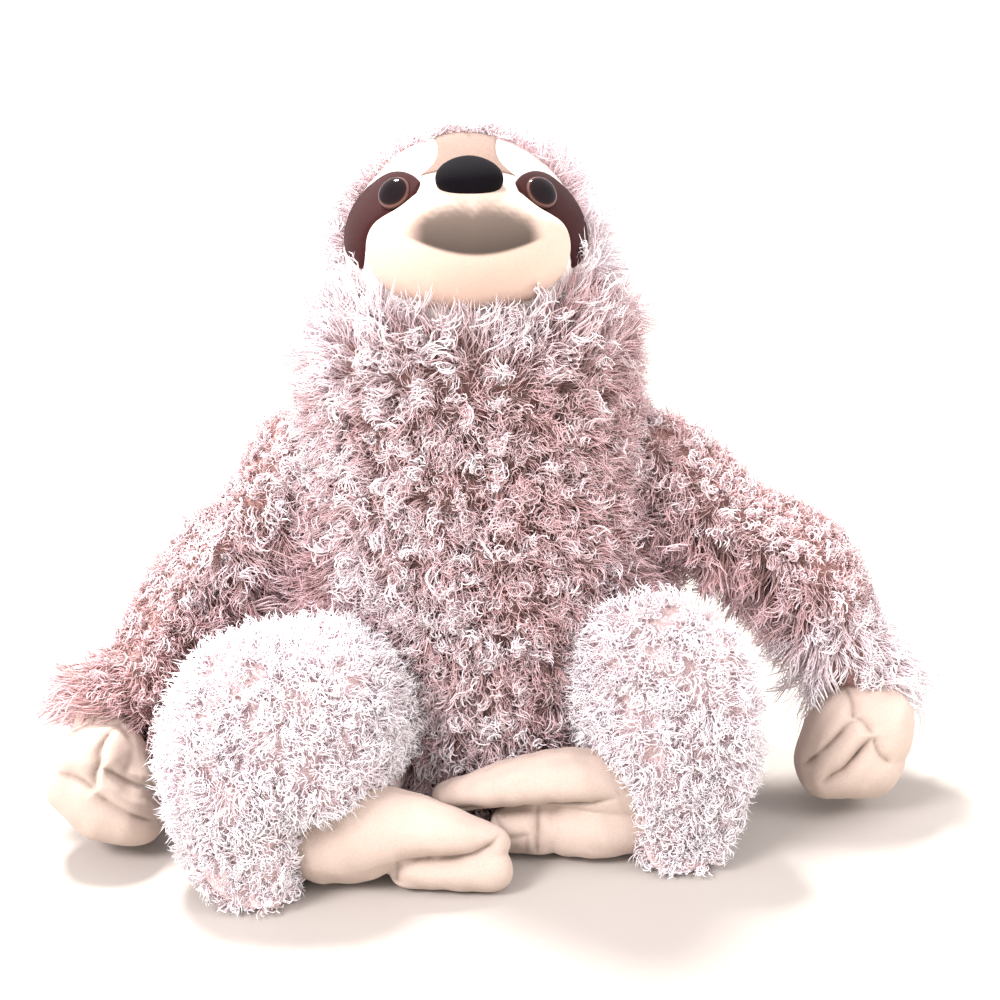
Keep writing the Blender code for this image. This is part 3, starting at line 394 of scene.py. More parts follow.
def head_matrix():
    turn = Matrix.Rotation(math.radians(HEAD_TURN_DEG), 4, "Z")
    tilt = Matrix.Rotation(math.radians(HEAD_TILT_DEG), 4, "X")
    return np.array(Matrix.Translation(HEAD_PLACE) @ turn @ tilt)


HEAD = head_matrix()


def from_head(points):
    return np.asarray(points) @ HEAD[:3, :3].T + HEAD[:3, 3]


def to_head(points):
    return (np.asarray(points) - HEAD[:3, 3]) @ HEAD[:3, :3]


def ball_grid(radii, centre=(0, 0, 0), rows=48, sides=96):
    """Rings of an ellipsoid round the y axis, front pole first."""
    turns = np.linspace(0.02, math.pi - 0.02, rows)
    rings = []
    for turn in turns:
        middle = np.array(centre) + FORWARD * radii[1] * math.cos(turn)
        rings.append(ring(middle, ACROSS * radii[0] * math.sin(turn), UP * radii[2] * math.sin(turn), sides))
    return np.array(rings)


# Materials
def new_material(name):
    material = bpy.data.materials.new(name)
    material.use_nodes = True
    nodes = material.node_tree.nodes
    return material, nodes, material.node_tree.links, nodes["Principled BSDF"]


def add(nodes, kind, **values):
    """A node with these inputs and settings."""
    node = nodes.new(kind)
    for name, value in values.items():
        if name in node.inputs:
            node.inputs[name].default_value = value
        else:
            setattr(node, name, value)
    return node


def finish(shader, values):
    for name, value in values.items():
        shader.inputs[name].default_value = value


def ramp(nodes, links, source, stops):
    """The colour that a value picks between stops."""
    node = nodes.new("ShaderNodeValToRGB")
    elements = node.color_ramp.elements
    while len(elements) < len(stops):
        elements.new(0.5)
    for element, (place, colour) in zip(elements, stops):
        element.position = place
        element.color = (*colour, 1)
    links.new(source, node.inputs["Fac"])
    return node.outputs["Color"]


def noise(nodes, links, scale, detail=3.0):
    node = add(nodes, "ShaderNodeTexNoise", Scale=scale, Detail=detail)
    links.new(nodes.new("ShaderNodeTexCoord").outputs["Object"], node.inputs["Vector"])
    return node.outputs["Fac"]


def mixed(nodes, links, share, one, other):
    """The colour between two, where each value is a socket or a plain one."""
    node = add(nodes, "ShaderNodeMix", data_type="RGBA")
    for place, value in ((0, share), (6, one), (7, other)):
        if isinstance(value, bpy.types.NodeSocket):
            links.new(value, node.inputs[place])
        else:
            node.inputs[place].default_value = value
    return node.outputs[2]


def roughen(nodes, links, shader, source, strength, distance):
    bump = add(nodes, "ShaderNodeBump", Strength=strength, Distance=distance)
    links.new(source, bump.inputs["Height"])
    links.new(bump.outputs["Normal"], shader.inputs["Normal"])


def velour(name, colour, shade, pile=0.00012, sheen=0.35, gloss=0.25, paint=None):
    """Short dense pile: fine grain, nap marks and a soft sheen, with paint laid on by the mesh's mask."""
    material, nodes, links, shader = new_material(name)
    grain = noise(nodes, links, 1900.0)
    nap = noise(nodes, links, 70.0)
    worn = tuple(0.90 * part for part in colour)
    grain_tone = ramp(nodes, links, grain, ((0.30, shade), (0.62, colour)))
    nap_tone = ramp(nodes, links, nap, ((0.30, worn), (0.65, colour)))
    cloth = mixed(nodes, links, 0.45, grain_tone, nap_tone)
    if paint:
        mask = add(nodes, "ShaderNodeAttribute", attribute_name="paint")
        cloth = mixed(nodes, links, mask.outputs["Fac"], cloth, (*paint, 1))
    links.new(cloth, shader.inputs["Base Color"])
    roughen(nodes, links, shader, grain, 0.6, pile)
    finish(shader, {
        "Roughness": 0.85, "Sheen Weight": sheen, "Sheen Roughness": 0.4, "Specular IOR Level": gloss,
    })
    return material


def fur_material():
    """Curly yarn, dark at the root and pale at the tip. The map's v runs along a strand, u is its tint,
    painted light and shade included.
    """
    material, nodes, links, shader = new_material("curly_plush")
    place = add(nodes, "ShaderNodeUVMap", uv_map="OFBake")
    split = nodes.new("ShaderNodeSeparateXYZ")
    links.new(place.outputs["UV"], split.inputs["Vector"])
    tint, along = split.outputs["X"], split.outputs["Y"]
    pale = ramp(nodes, links, along, (
        (0.0, srgb(250, 220, 223)),
        (0.30, srgb(254, 234, 239)),
        (0.60, srgb(255, 245, 251)),
        (1.0, srgb(255, 253, 255)),
    ))
    deep = ramp(nodes, links, along, (
        (0.0, srgb(136, 94, 82)),
        (0.40, srgb(184, 137, 131)),
        (0.75, srgb(218, 173, 175)),
        (1.0, srgb(241, 210, 216)),
    ))
    links.new(mixed(nodes, links, tint, deep, pale), shader.inputs["Base Color"])
    finish(shader, {
        "Roughness": 0.7, "Sheen Weight": 0.75, "Sheen Roughness": 0.5, "Specular IOR Level": 0.3,
    })
    return material


def backing_material(name, dark, light):
    """The knitted ground that the pile stands on."""
    material, nodes, links, shader = new_material(name)
    knit = noise(nodes, links, 900.0)
    links.new(ramp(nodes, links, knit, ((0.35, dark), (0.65, light))), shader.inputs["Base Color"])
    roughen(nodes, links, shader, knit, 0.8, 0.0006)
    finish(shader, {"Roughness": 0.95})
    return material


# Pile
def triangles_of(thing):
    """A mesh's points, its triangles' corners and the normals at its points."""
    mesh = thing.data
    mesh.calc_loop_triangles()
    points = np.empty(len(mesh.vertices) * 3, np.float32)
    mesh.vertices.foreach_get("co", points)
    corners = np.empty(len(mesh.loop_triangles) * 3, np.int32)
    mesh.loop_triangles.foreach_get("vertices", corners)
    normals = np.empty(len(mesh.vertices) * 3, np.float32)
    mesh.vertices.foreach_get("normal", normals)
    return points.reshape(-1, 3).astype(float), corners.reshape(-1, 3), normals.reshape(-1, 3).astype(float)


def points_of(thing):
    points = np.empty(len(thing.data.vertices) * 3, np.float32)
    thing.data.vertices.foreach_get("co", points)
    return points.reshape(-1, 3).astype(float)


def set_points(thing, points):
    thing.data.vertices.foreach_set("co", points.astype(np.float32).ravel())
    thing.data.update()


def set_paint(thing, values):
    thing.data.attributes.new("paint", "FLOAT", "POINT").data.foreach_set("value", values.astype(np.float32))


def tree_of(thing):
    points, corners, _ = triangles_of(thing)
    return BVHTree.FromPolygons(points.tolist(), corners.tolist())


def side_of(body):
    return body.split("_")[1]


def sink(thing, body):
    """Draws a closed form in by the pile's depth, less on the floor and more outside an elbow."""
    points, _, normals = triangles_of(thing)
    give = PILE_DEPTH * (1 - 0.8 * np.clip(-normals[:, 2], 0, 1) * (points[:, 2] < 0.02))
    if body.startswith("arm"):
        elbow = ARMS[side_of(body)][1]
        outward = normals @ unit(np.array((np.sign(elbow[0]), 0.0, 1.0)))
        near = 1 - step_up(np.linalg.norm(points - elbow, axis=1), 0.045, 0.080)
        outer, inner = step_up(outward, 0.0, 0.7), step_up(-outward, 0.1, 0.8)
        give += ELBOW_SLIMMING * near * outer - INNER_ARM_FILL * inner
    points -= normals * give[:, None]
    points[:, 2] = np.maximum(points[:, 2], GROUND_SKIM)
    set_points(thing, points)


def scatter(thing, spacing, rng):
    """Places on a form about a spacing apart, with the normal there."""
    points, corners, normals = triangles_of(thing)
    a, b, c = points[corners[:, 0]], points[corners[:, 1]], points[corners[:, 2]]
    area = np.linalg.norm(np.cross(b - a, c - a), axis=1) / 2
    tries = int(area.sum() / spacing**2 * TRIES)
    face = rng.choice(len(area), tries, p=area / area.sum())
    one, two = np.sqrt(rng.random(tries)), rng.random(tries)
    weights = np.stack((1 - one, one * (1 - two), one * two), 1)
    places = np.einsum("ij,ijk->ik", weights, points[corners[face]])
    ways = unit(np.einsum("ij,ijk->ik", weights, normals[corners[face]]))
    taken, kept = {}, []
    cells = np.floor(places / spacing).astype(int)
    near = [(x, y, z) for x in (-1, 0, 1) for y in (-1, 0, 1) for z in (-1, 0, 1)]
    least = (CLOSEST_SHARE * spacing) ** 2
    for i, ((x, y, z), place) in enumerate(zip(cells.tolist(), places)):
        others = [other for dx, dy, dz in near for other in taken.get((x + dx, y + dy, z + dz), ())]
        if all(sum((place - other) ** 2) >= least for other in others):
            taken.setdefault((x, y, z), []).append(place)
            kept.append(i)
    return places[kept], ways[kept]


def outside(places, trees, depth):
    """Which places aren't deeper than depth inside any of these closed forms."""
    clear = np.ones(len(places), bool)
    for tree in trees:
        for i, place in enumerate(places):
            if clear[i]:
                spot, normal, _, distance = tree.find_nearest(place)
                if (Vector(place) - spot).dot(normal) < 0 and distance > depth:
                    clear[i] = False
    return clear


def soft_noise(places, scale, rng):
    """A smooth value from 0 to 1 that changes over about a scale."""
    total = np.zeros(len(places))
    for _ in range(6):
        way = unit(rng.normal(size=3)) * math.tau / (scale * rng.uniform(0.7, 1.8))
        total += np.sin(places @ way + rng.uniform(0, math.tau))
    return 0.5 + 0.5 * np.tanh(total / 2.2)


def curls(roots, ways, rng, kind, paleness_and_painted_light, lengths, leans, tones_and_painted_light):
    """Points (strand, point, 3), radii and tints of curly locks on these roots, with painted light and shade
    in the tints.
    """
    count, strands, curl = len(roots), kind["strands"], kind["curl"]
    s = np.linspace(0, 1, kind["points"])
    axis = unit(ways + leans + rng.normal(size=(count, 3)) * kind["stray"])
    side = unit(np.cross(axis, rng.normal(size=(count, 3))))
    other = np.cross(axis, side)
    lengths = lengths * kind["length"] * rng.uniform(0.75, 1.25, count)
    bend = unit(np.cross(axis, rng.normal(size=(count, 3))) + 0.3 * leans)
    bend = bend * rng.uniform(0.1, 0.38, (count, 1))
    phase = rng.uniform(0, math.tau, count)
    hand = rng.choice((-1.0, 1.0), count)
    turns = rng.uniform(*kind["turns"], count)
    swing = curl * rng.uniform(0.6, 1.25, count)
    tint = soft_noise(roots, TINT_PATCH, rng) * 0.45 + rng.uniform(-0.25, 0.2, count)
    tint = tint + kind["tint"] + paleness_and_painted_light + tones_and_painted_light

    def each(values):
        return np.repeat(values, strands, 0)

    total = count * strands
    axis, side, other, bend, lengths = each(axis), each(side), each(other), each(bend), each(lengths)
    lengths = lengths * rng.uniform(0.72, 1.08, total)
    phase = each(phase) + rng.normal(size=total) * 0.5
    turns = each(turns) * rng.uniform(0.85, 1.2, total)
    swing = each(swing) * rng.uniform(0.55, 1.3, total)
    angle = phase[:, None] + each(hand)[:, None] * math.tau * turns[:, None] * s ** kind["tight"]
    reach = swing[:, None] * s**0.75
    spread = rng.normal(size=(total, 2)) * kind["spacing"] * 0.26
    root = each(roots) + side * spread[:, :1] + other * spread[:, 1:]
    fan = rng.normal(size=(total, 2)) * kind["fan"]
    along = lengths[:, None] * (kind["reach"] * (1 - (1 - s) ** (2 - kind["reach"])))
    points = (
        root[:, None]
        + axis[:, None] * along[..., None]
        + bend[:, None] * (lengths[:, None] * s**2)[..., None]
        + side[:, None] * (reach * np.cos(angle) + fan[:, :1] * s)[..., None]
        + other[:, None] * (reach * np.sin(angle) + fan[:, 1:] * s)[..., None]
    )
    radii = rng.uniform(*kind["radii"], total)[:, None] * (0.75 + 0.35 * np.sin(math.pi * s**1.3))
    return points, radii, np.clip(each(tint), 0.02, 0.98)


def rest_on_floor(points):
    """Presses what reaches under the floor flat on it, and gathers in what strays past the sleeves."""
    for limit, sign in zip(SLEEVE_REACH, (-1, 1)):
        past = np.maximum(sign * (points[..., 0] - limit), 0)
        points[..., 0] -= sign * (past - SLEEVE_GIVE * np.tanh(past / SLEEVE_GIVE))
    height = points[..., 2]
    pressed = FLOOR_SKIM + PRESS_BAND * np.exp((height - FLOOR_SKIM - PRESS_BAND) / PRESS_FADE)
    points[..., 2] = np.where(height < FLOOR_SKIM + PRESS_BAND, pressed, height)


def strand_mesh(name, points, radii, tints, material):
    """Thin three-sided strands, pointed at both ends."""
    count, steps = points.shape[:2]
    way = unit(np.gradient(points, axis=1))
    guide = unit(np.cross(points[:, -1] - points[:, 0], points[:, steps // 2] - points[:, 0]) + 1e-9)
    one = unit(np.cross(way, guide[:, None]))
    two = np.cross(way, one)
    inner = slice(1, steps - 1)
    rings = []
    for turn in (0.0, math.tau / 3, 2 * math.tau / 3):
        offset = one * math.cos(turn) + two * math.sin(turn)
        rings.append((points + offset * radii[..., None])[:, inner])
    rings = np.stack(rings, 2).reshape(count, -1, 3)
    verts = np.concatenate((points[:, :1], rings, points[:, -1:]), 1)
    each = verts.shape[1]
    faces, marks = [], []
    last = each - 1
    rows = steps - 2
    for i in range(3):
        j = (i + 1) % 3
        faces.append((0, 1 + j, 1 + i))
        marks.append((0, 1, 1))
        for row in range(rows - 1):
            a, b = 1 + row * 3, 4 + row * 3
            faces += [(a + i, a + j, b + j), (a + i, b + j, b + i)]
            marks += [(row + 1, row + 1, row + 2), (row + 1, row + 2, row + 2)]
        faces.append((last - 3 + i, last - 3 + j, last))
        marks.append((rows, rows, rows + 1))
    faces, marks = np.array(faces), np.array(marks)
    all_faces = (np.arange(count)[:, None, None] * each + faces).reshape(-1, 3)
    thing = mesh_object(name, verts.reshape(-1, 3), all_faces, material)
    u = tints[:, None, None] + np.array((-0.004, 0.0, 0.004))[None, None]
    v = np.repeat((marks / (rows + 1))[None], count, 0)
    uv = np.stack((np.broadcast_to(u, v.shape), v), -1)
    thing.data.uv_layers.new(name="OFBake").uv.foreach_set("vector", uv.astype(np.float32).ravel())
    return thing


def grow(name, body, places, ways, rng, material, kind, combed):
    """Locks on a body, in pieces of few enough faces."""
    points, radii, tints = curls(places, ways, rng, kind, PALENESS_AND_PAINTED_LIGHT[body], *combed)
    rest_on_floor(points)
    parts = math.ceil(len(points) * 6 * (kind["points"] - 2) / MAX_FACES)
    order = np.argsort(points[:, 0, 2], kind="stable")
    for i, chosen in enumerate(np.array_split(order, parts)):
        thing = strand_mesh(f"{name}_{i + 1}", points[chosen], radii[chosen], tints[chosen], material)
        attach(thing, body)


# Stage
def put(name, data, place, way, axis="Z"):
    """An object at a place, with this axis of its own turned along a way."""
    thing = bpy.data.objects.new(name, data)
    thing.location = place
    thing.rotation_mode = "QUATERNION"
    thing.rotation_quaternion = Vector(way).to_track_quat(axis, "Y")
    bpy.context.scene.collection.objects.link(thing)
    return thing


def build_floor():
    bpy.ops.mesh.primitive_plane_add(size=FLOOR_SIZE, location=(0, 0, -FLOOR_DROP))
    floor = bpy.context.object
    floor.name = "floor"
    material, nodes, links, shader = new_material("pale_floor")
    mottle = noise(nodes, links, 6.0, 2.0)
    tone = ramp(nodes, links, mottle, ((0.3, srgb(178, 171, 165)), (0.7, srgb(184, 178, 172))))
    links.new(tone, shader.inputs["Base Color"])
    finish(shader, {"Roughness": 0.8})
    floor.data.materials.append(material)


def build_room():
    """Soft light from all round, in front of a wall that the camera sees as white."""
    world = bpy.data.worlds.new("studio")
    bpy.context.scene.world = world
    world.use_nodes = True
    nodes, links = world.node_tree.nodes, world.node_tree.links
    soft = nodes["Background"]
    finish(soft, {"Color": (1.0, 0.98, 0.975, 1), "Strength": ROOM_LIGHT})
    wall = add(nodes, "ShaderNodeBackground", Strength=1.0)
    seen = nodes.new("ShaderNodeLightPath")
    blend = nodes.new("ShaderNodeMixShader")
    links.new(seen.outputs["Is Camera Ray"], blend.inputs["Fac"])
    links.new(soft.outputs["Background"], blend.inputs[1])
    links.new(wall.outputs["Background"], blend.inputs[2])
    links.new(blend.outputs["Shader"], nodes["World Output"].inputs["Surface"])


def build_lights():
    sun = bpy.data.lights.new("key", "SUN")
    sun.energy = SUN_POWER
    sun.angle = math.radians(SUN_ANGLE_DEG)
    sun.color = (1.0, 0.975, 0.95)
    put("key", sun, (0, 0, 0), SUN_FROM)
    for name, (place, power, colour) in LAMPS.items():
        light = bpy.data.lights.new(name, "AREA")
        light.size = LAMP_SIZE
        light.energy = power
        light.color = colour
        lamp = put(name, light, place, LAMP_AIM - Vector(place), "-Z")
        lamp.visible_glossy = False


def build_camera():
    scene = bpy.context.scene
    scene.view_settings.view_transform = "Standard"
    scene.view_settings.look = "None"
    scene.view_settings.exposure = EXPOSURE
    rise = math.radians(CAMERA_ELEVATION_DEG)
    back = Vector((0, -math.cos(rise), math.sin(rise)))
    data = bpy.data.cameras.new("camera")
    data.sensor_width = 36.0
    data.lens = CAMERA_LENS_MM
    data.clip_start = 0.01
    scene.camera = put("camera", data, CAMERA_TARGET + back * CAMERA_DISTANCE, -back, "-Z")


# Head
SEAM_FORWARD = 0.008
SEAM_RISE = 0.004
SEAM_BEND = (0.024 - SEAM_FORWARD) / (0.042 - SEAM_RISE) ** 2
FACE_SIDES = 120
CHEEK_SPREAD = 0.035
SMILE_SEED = 12


def seam_at(rise):
    """How far forward the seam round the face lies at a height of the head."""
    return SEAM_FORWARD + SEAM_BEND * (rise - SEAM_RISE) ** 2


def behind_seam(local):
    """True where the head carries plush, behind the seam round the face."""
    return local[:, 1] > -seam_at(local[:, 2]) + 0.001


def seam_turns(radius, sides):
    """The angle from the front at which the seam crosses each meridian of a ball."""
    around = angles(sides)
    near, far = np.zeros(sides), np.full(sides, math.pi)
    for _ in range(40):
        middle = (near + far) / 2
        rise = radius * np.sin(middle) * np.sin(around)
        before = radius * np.cos(middle) > seam_at(rise)
        near, far = np.where(before, middle, near), np.where(before, far, middle)
    return near


def ball_part(radius, starts, ends, rows, sides):
    """Rings of a ball round the y axis between two angles from the front on each meridian."""
    around = angles(sides)
    rings = []
    for share in np.linspace(0, 1, rows):
        turn = starts + (ends - starts) * share
        wide = radius * np.sin(turn)
        rings.append(np.stack((wide * np.cos(around), -radius * np.cos(turn), wide * np.sin(around)), 1))
    return np.array(rings)


def face_way(points):
    """Directions on the face from x and z shares."""
    points = np.asarray(points, float)
    deep = np.sqrt(np.maximum(1 - (points**2).sum(1), 0))
    return np.stack((points[:, 0], -deep, points[:, 1]), 1)


def cheeks(local):
    """Widens the face a little at its outer sides."""
    wide = local.copy()
    wide[..., 0] *= 1 + CHEEK_SPREAD * step_up(np.abs(local[..., 0]), 0.036, 0.046)
    return wide


def face_patch(name, one_edge, other_edge, thick, material, steps=8, across=18):
    """A padded cloth patch on the face between two edges, rolled down to the face all round."""
    one, other = face_way(spline(one_edge, steps)), face_way(spline(other_edge, steps))
    shares = np.linspace(0, 1, across)
    rings = []
    for a, b in zip(one, other):
        width = np.linalg.norm(a - b) * SKULL
        ways = unit(a * (1 - shares[:, None]) + b * shares[:, None])
        rise = 0.0002 + thick * min(1.0, width / 0.003) * (1 - np.abs(2 * shares - 1) ** 5) ** 0.4
        top = ways * (SKULL + rise)[:, None]
        under = ways[::-1] * (SKULL - 0.0006)
        rings.append(np.concatenate((top, under)))
    return loft(name, from_head(cheeks(np.array(rings))), material)


def smile_mask(local):
    """The airbrushed mouth, in mm: soft above, notched under the nose, crisp below, faint at the corners."""
    across, rise = local[:, 0] * 1000, local[:, 2] * 1000
    below = -23.1 + 0.0130 * (across - 1.5) ** 2
    above = -0.8 - 1.6 * np.exp(-(((across - 1.0) / 2.4) ** 2))
    above -= 0.018 * np.maximum(np.abs(across - 1) - 6, 0) ** 2
    mottle = soft_noise(local, 0.0022, np.random.default_rng(SMILE_SEED)) - 0.5
    soft = step_up(above - rise + 1.2 * mottle, -2.0, 9.0)
    crisp = step_up(rise - below, -0.35, 1.1)
    depth = np.clip((above - rise) / np.maximum(above - below, 1), 0, 1)
    corners = 1 - step_up(-across, 16, 27) - step_up(across, 21, 29)
    return soft * crisp * (0.78 + 0.22 * depth) * corners * (local[:, 1] < -0.03)


def build_face(white, muzzle_white):
    turns = seam_turns(SKULL, FACE_SIDES)
    rings = ball_part(SKULL, np.full(FACE_SIDES, 0.02), turns + 0.10, 60, FACE_SIDES)
    inside = rings[-1] * 0.9
    face = loft("face_velour", from_head(cheeks(np.concatenate((rings, [inside])))), white)
    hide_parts("face_panel")
    brown = velour("patch_brown", srgb(62, 30, 31), srgb(38, 18, 20), sheen=0.05)
    tan = velour("brow_tan", srgb(154, 131, 120), srgb(112, 92, 80), sheen=0.08)
    pieces = [face]
    for side, sign in SIDES.items():
        flip = np.array((sign, 1.0))
        outer, inner = np.array(PATCH_OUTER) * flip, np.array(PATCH_INNER) * flip
        patch = face_patch(f"eye_patch_velour_{side}", outer, inner, 0.0011, brown)
        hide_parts(f"eye_patch_{side}")
        pieces.append(patch)
    edges = np.array(WEDGE_EDGES)
    wedge = face_patch("brow_wedge", edges[:, ::-1] * (-1, 1), edges[:, ::-1], 0.0007, tan, across=30)
    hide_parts("forehead_wedge")
    muzzle_rings = ball_grid(MUZZLE_RADII, MUZZLE_PLACE, rows=150, sides=220)
    dip = np.exp(-(((np.abs(muzzle_rings[..., 0]) - 0.027) / 0.009) ** 2))
    muzzle_rings[..., 2] -= 0.0042 * dip * step_up(muzzle_rings[..., 2] - MUZZLE_PLACE[2], 0.0, 0.012)
    muzzle = loft("muzzle_velour", from_head(muzzle_rings), muzzle_white)
    set_paint(muzzle, smile_mask(to_head(points_of(muzzle))))
    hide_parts("muzzle_cover", "muzzle_stuffing")
    nose = build_nose()
    slots = ("white_velour", "brown_velour", "brown_velour", "tan_velour", "white_velour", "black_nose")
    for piece, slot in zip(pieces + [wedge, muzzle, nose], slots):
        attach(piece, "head")
    for side, sign in SIDES.items():
        build_eye(side, sign)


def build_nose():
    """A padded triangle with round corners."""
    tilt = np.array(Matrix.Rotation(math.radians(-NOSE_TILT_DEG), 3, "X"))
    around = angles(72)
    power = np.where(np.sin(around) < 0, 2.2, 1.9)
    reach = (np.abs(np.cos(around)) ** power + np.abs(np.sin(around)) ** power) ** (-1 / power)
    rings = []
    for turn in np.linspace(0.03, math.pi - 0.03, 40):
        wide = math.sin(turn) ** 0.85
        spread = 1 - 0.10 * np.sin(around)
        rings.append(np.stack((
            NOSE_RADII[0] * wide * reach * np.cos(around) * spread,
            np.full(len(around), -NOSE_RADII[1] * math.cos(turn)),
            NOSE_RADII[2] * wide * reach * np.sin(around),
        ), 1))
    local = np.array(rings) @ tilt.T + np.array(NOSE_PLACE)
    black = velour("nose_black", srgb(16, 13, 18), srgb(6, 4, 8), pile=0.0003, sheen=0.01, gloss=0.10)
    nose = loft("nose_velour", from_head(local), black)
    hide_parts("nose")
    return nose


def turned_rings(profile, seat, axis, sides=64):
    """Rings of (radius, height) points round an axis."""
    across = unit(np.cross(axis, UP))
    upright = np.cross(axis, across)
    return np.array([
        ring(seat + axis * height, across * radius, upright * radius, sides) for radius, height in profile
    ])


def build_eye(side, sign):
    """A glossy dome with a brown rim round a black pupil."""
    out = face_way([(sign * EYE_ACROSS, EYE_RISE)])[0]
    axis = unit(out + EYE_FACING * FORWARD)
    seat = out * (SKULL + 0.0006)
    turns = np.radians(np.linspace(0, 90, 16))
    dome = [(0.0001, -0.004), (EYE_RADIUS * 0.96, -0.004)]
    dome += [(EYE_RADIUS * math.cos(t) + 1e-5, 0.0007 + (EYE_DOME - 0.0007) * math.sin(t)) for t in turns]
    rings = turned_rings(dome, seat, axis)
    material, nodes, links, shader = new_material(f"eye_{side}")
    mask = add(nodes, "ShaderNodeAttribute", attribute_name="paint")
    tone = ramp(nodes, links, mask.outputs["Fac"], (
        (0.0, srgb(16, 10, 14)),
        (0.76, srgb(26, 14, 18)),
        (0.84, srgb(44, 24, 24)),
        (0.89, srgb(112, 82, 76)),
        (0.95, srgb(88, 60, 56)),
        (0.985, srgb(40, 22, 22)),
    ))
    links.new(tone, shader.inputs["Base Color"])
    finish(shader, {"Roughness": 0.06, "Specular IOR Level": 0.22})
    eye = loft(f"eye_{side}", from_head(rings), material)
    local = to_head(points_of(eye)) - seat
    off = local - (local @ axis)[:, None] * axis
    set_paint(eye, np.linalg.norm(off, axis=1) / EYE_RADIUS)
    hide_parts(f"eye_lens_{side}", f"eye_pupil_{side}", f"eye_washer_{side}")
    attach(eye, "head")


# Hands and feet
def puffed(name, bodies, material):
    """One stuffed skin round overlapping bodies of rings."""
    points, faces, start = [], [], 0
    for i, rings in enumerate(bodies):
        body = loft(f"{name}_{i}", rings)
        own, corners, _ = triangles_of(body)
        points.append(own)
        faces.append(corners + start)
        start += len(own)
        bpy.data.objects.remove(body, do_unlink=True)
    thing = mesh_object(name, np.concatenate(points), np.concatenate(faces))
    remesh = thing.modifiers.new("Remesh", "REMESH")
    remesh.mode = "VOXEL"
    remesh.voxel_size = SKIN_VOXEL
    remesh.use_smooth_shade = True
    smooth = thing.modifiers.new("Smooth", "SMOOTH")
    smooth.factor = 0.5
    smooth.iterations = SKIN_SMOOTHING
    graph = bpy.context.evaluated_depsgraph_get()
    mesh = bpy.data.meshes.new_from_object(thing.evaluated_get(graph))
    thing.modifiers.clear()
    thing.data = mesh
    mesh.materials.clear()
    mesh.materials.append(material)
    return thing


def path_reach(spots, path):
    """Distance from flat spots to a path, and how far along the path from 0 to 1 the nearest place is."""
    near, along = np.full(len(spots), np.inf), np.zeros(len(spots))
    pieces = len(path) - 1
    for i in range(pieces):
        run = path[i + 1] - path[i]
        share = np.clip((spots - path[i]) @ run / (run @ run), 0, 1)
        gap = np.linalg.norm(spots - path[i] - share[:, None] * run, axis=1)
        closer = gap < near
        near[closer] = gap[closer]
        along[closer] = (i + share[closer]) / pieces
    return near, along


def finish_skin(thing, centre, around, creases, rng, wrinkle):
    """Sewn creases pressed into the front, soft wrinkles, and the mask that darkens the creases: a fine dark
    thread along each one and painted shade spreading from it.
    """
    points, _, normals = triangles_of(thing)
    across, rise, front = around
    spots = np.stack(((points - centre) @ across, (points - centre) @ rise), 1)
    facing = step_up(normals @ front, -0.1, 0.45)
    press, dark = np.zeros(len(points)), np.zeros(len(points))
    for depth, path in creases:
        gap, along = path_reach(spots, spline(path, 4))
        ends = np.minimum(1, np.sin(np.clip(along, 0.02, 0.98) * math.pi) * 1.7)
        press = np.maximum(press, depth * ends * np.exp(-gap / CREASE_WIDTH))
        # a fine dark thread in the crease, and painted shade spreading out from it
        thread_and_shade = 0.55 * np.exp(-((gap / FINE_LINE) ** 2)) + 0.30 * np.exp(-gap / PAINTED_SHADE_REACH)
        dark = np.maximum(dark, ends * depth / DEEPEST_CREASE * thread_and_shade)
    dark *= 0.45 + 0.75 * soft_noise(points, 0.010, rng)
    rough = soft_noise(points * (1.0, 1.0, 0.45), 0.009, rng) - 0.5
    points += normals * (rough * wrinkle * 2)[:, None] - front * (press * facing)[:, None]
    points[:, 2] = np.maximum(points[:, 2], SKIN_SKIM)
    set_points(thing, points)
    set_paint(thing, np.clip(dark * facing, 0, 1))


def pillow_rings(centre, outline, around, depths, rows=36):
    """Rings from the front to the back of a stuffed form with this outline."""
    across, rise, front = around
    edge = spline(np.concatenate((outline, outline[:1])), 6)[:-1]
    middle = edge.mean(0)
    rings = []
    for turn in np.linspace(0.03, math.pi - 0.03, rows):
        flat = middle + (edge - middle) * math.sin(turn) ** 0.75
        deep = depths[0 if turn < math.pi / 2 else 1] * math.cos(turn)
        rings.append(centre + flat[:, :1] * across + flat[:, 1:] * rise + deep * front)
    return np.array(rings)


def build_hand(side, material):
    _, _, wrist, palm = ARMS[side]
    front = unit(FORWARD + HAND_FACING * UP)
    around = (ACROSS, np.cross(front, ACROSS), front)
    outline = np.array(HAND_OUTLINES[side]) * HAND_RADIUS
    neck = wrist * (1 - NECK_SHARE) + palm * NECK_SHARE
    stem = tube([(*centre, radius, radius) for centre, radius in zip((wrist, neck, palm), WRIST_RADII)])
    pillow = pillow_rings(palm, outline, around, HAND_DEPTHS)
    hand = puffed(f"hand_velour_{side}", [stem, pillow], material)
    creases = [(depth, np.array(path) * HAND_RADIUS) for depth, path in HAND_CREASES[side]]
    finish_skin(hand, palm, around, creases, np.random.default_rng(HAND_SEED), HAND_WRINKLE)
    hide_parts(f"hand_cover_{side}", f"hand_stuffing_{side}")
    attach(hand, f"hand_{side}")


def build_foot(side, material):
    bodies = [tube(spline(lobe, 4)) for lobe in FEET[side]]
    foot = puffed(f"foot_velour_{side}", bodies, material)
    creases = [(depth, np.array(path)) for depth, path in FOOT_CREASES[side]]
    around = (ACROSS, UP, FORWARD)
    finish_skin(foot, np.zeros(3), around, creases, np.random.default_rng(FOOT_SEED), FOOT_WRINKLE)
    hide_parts(f"foot_cover_{side}", f"foot_stuffing_{side}")
    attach(foot, f"foot_{side}")


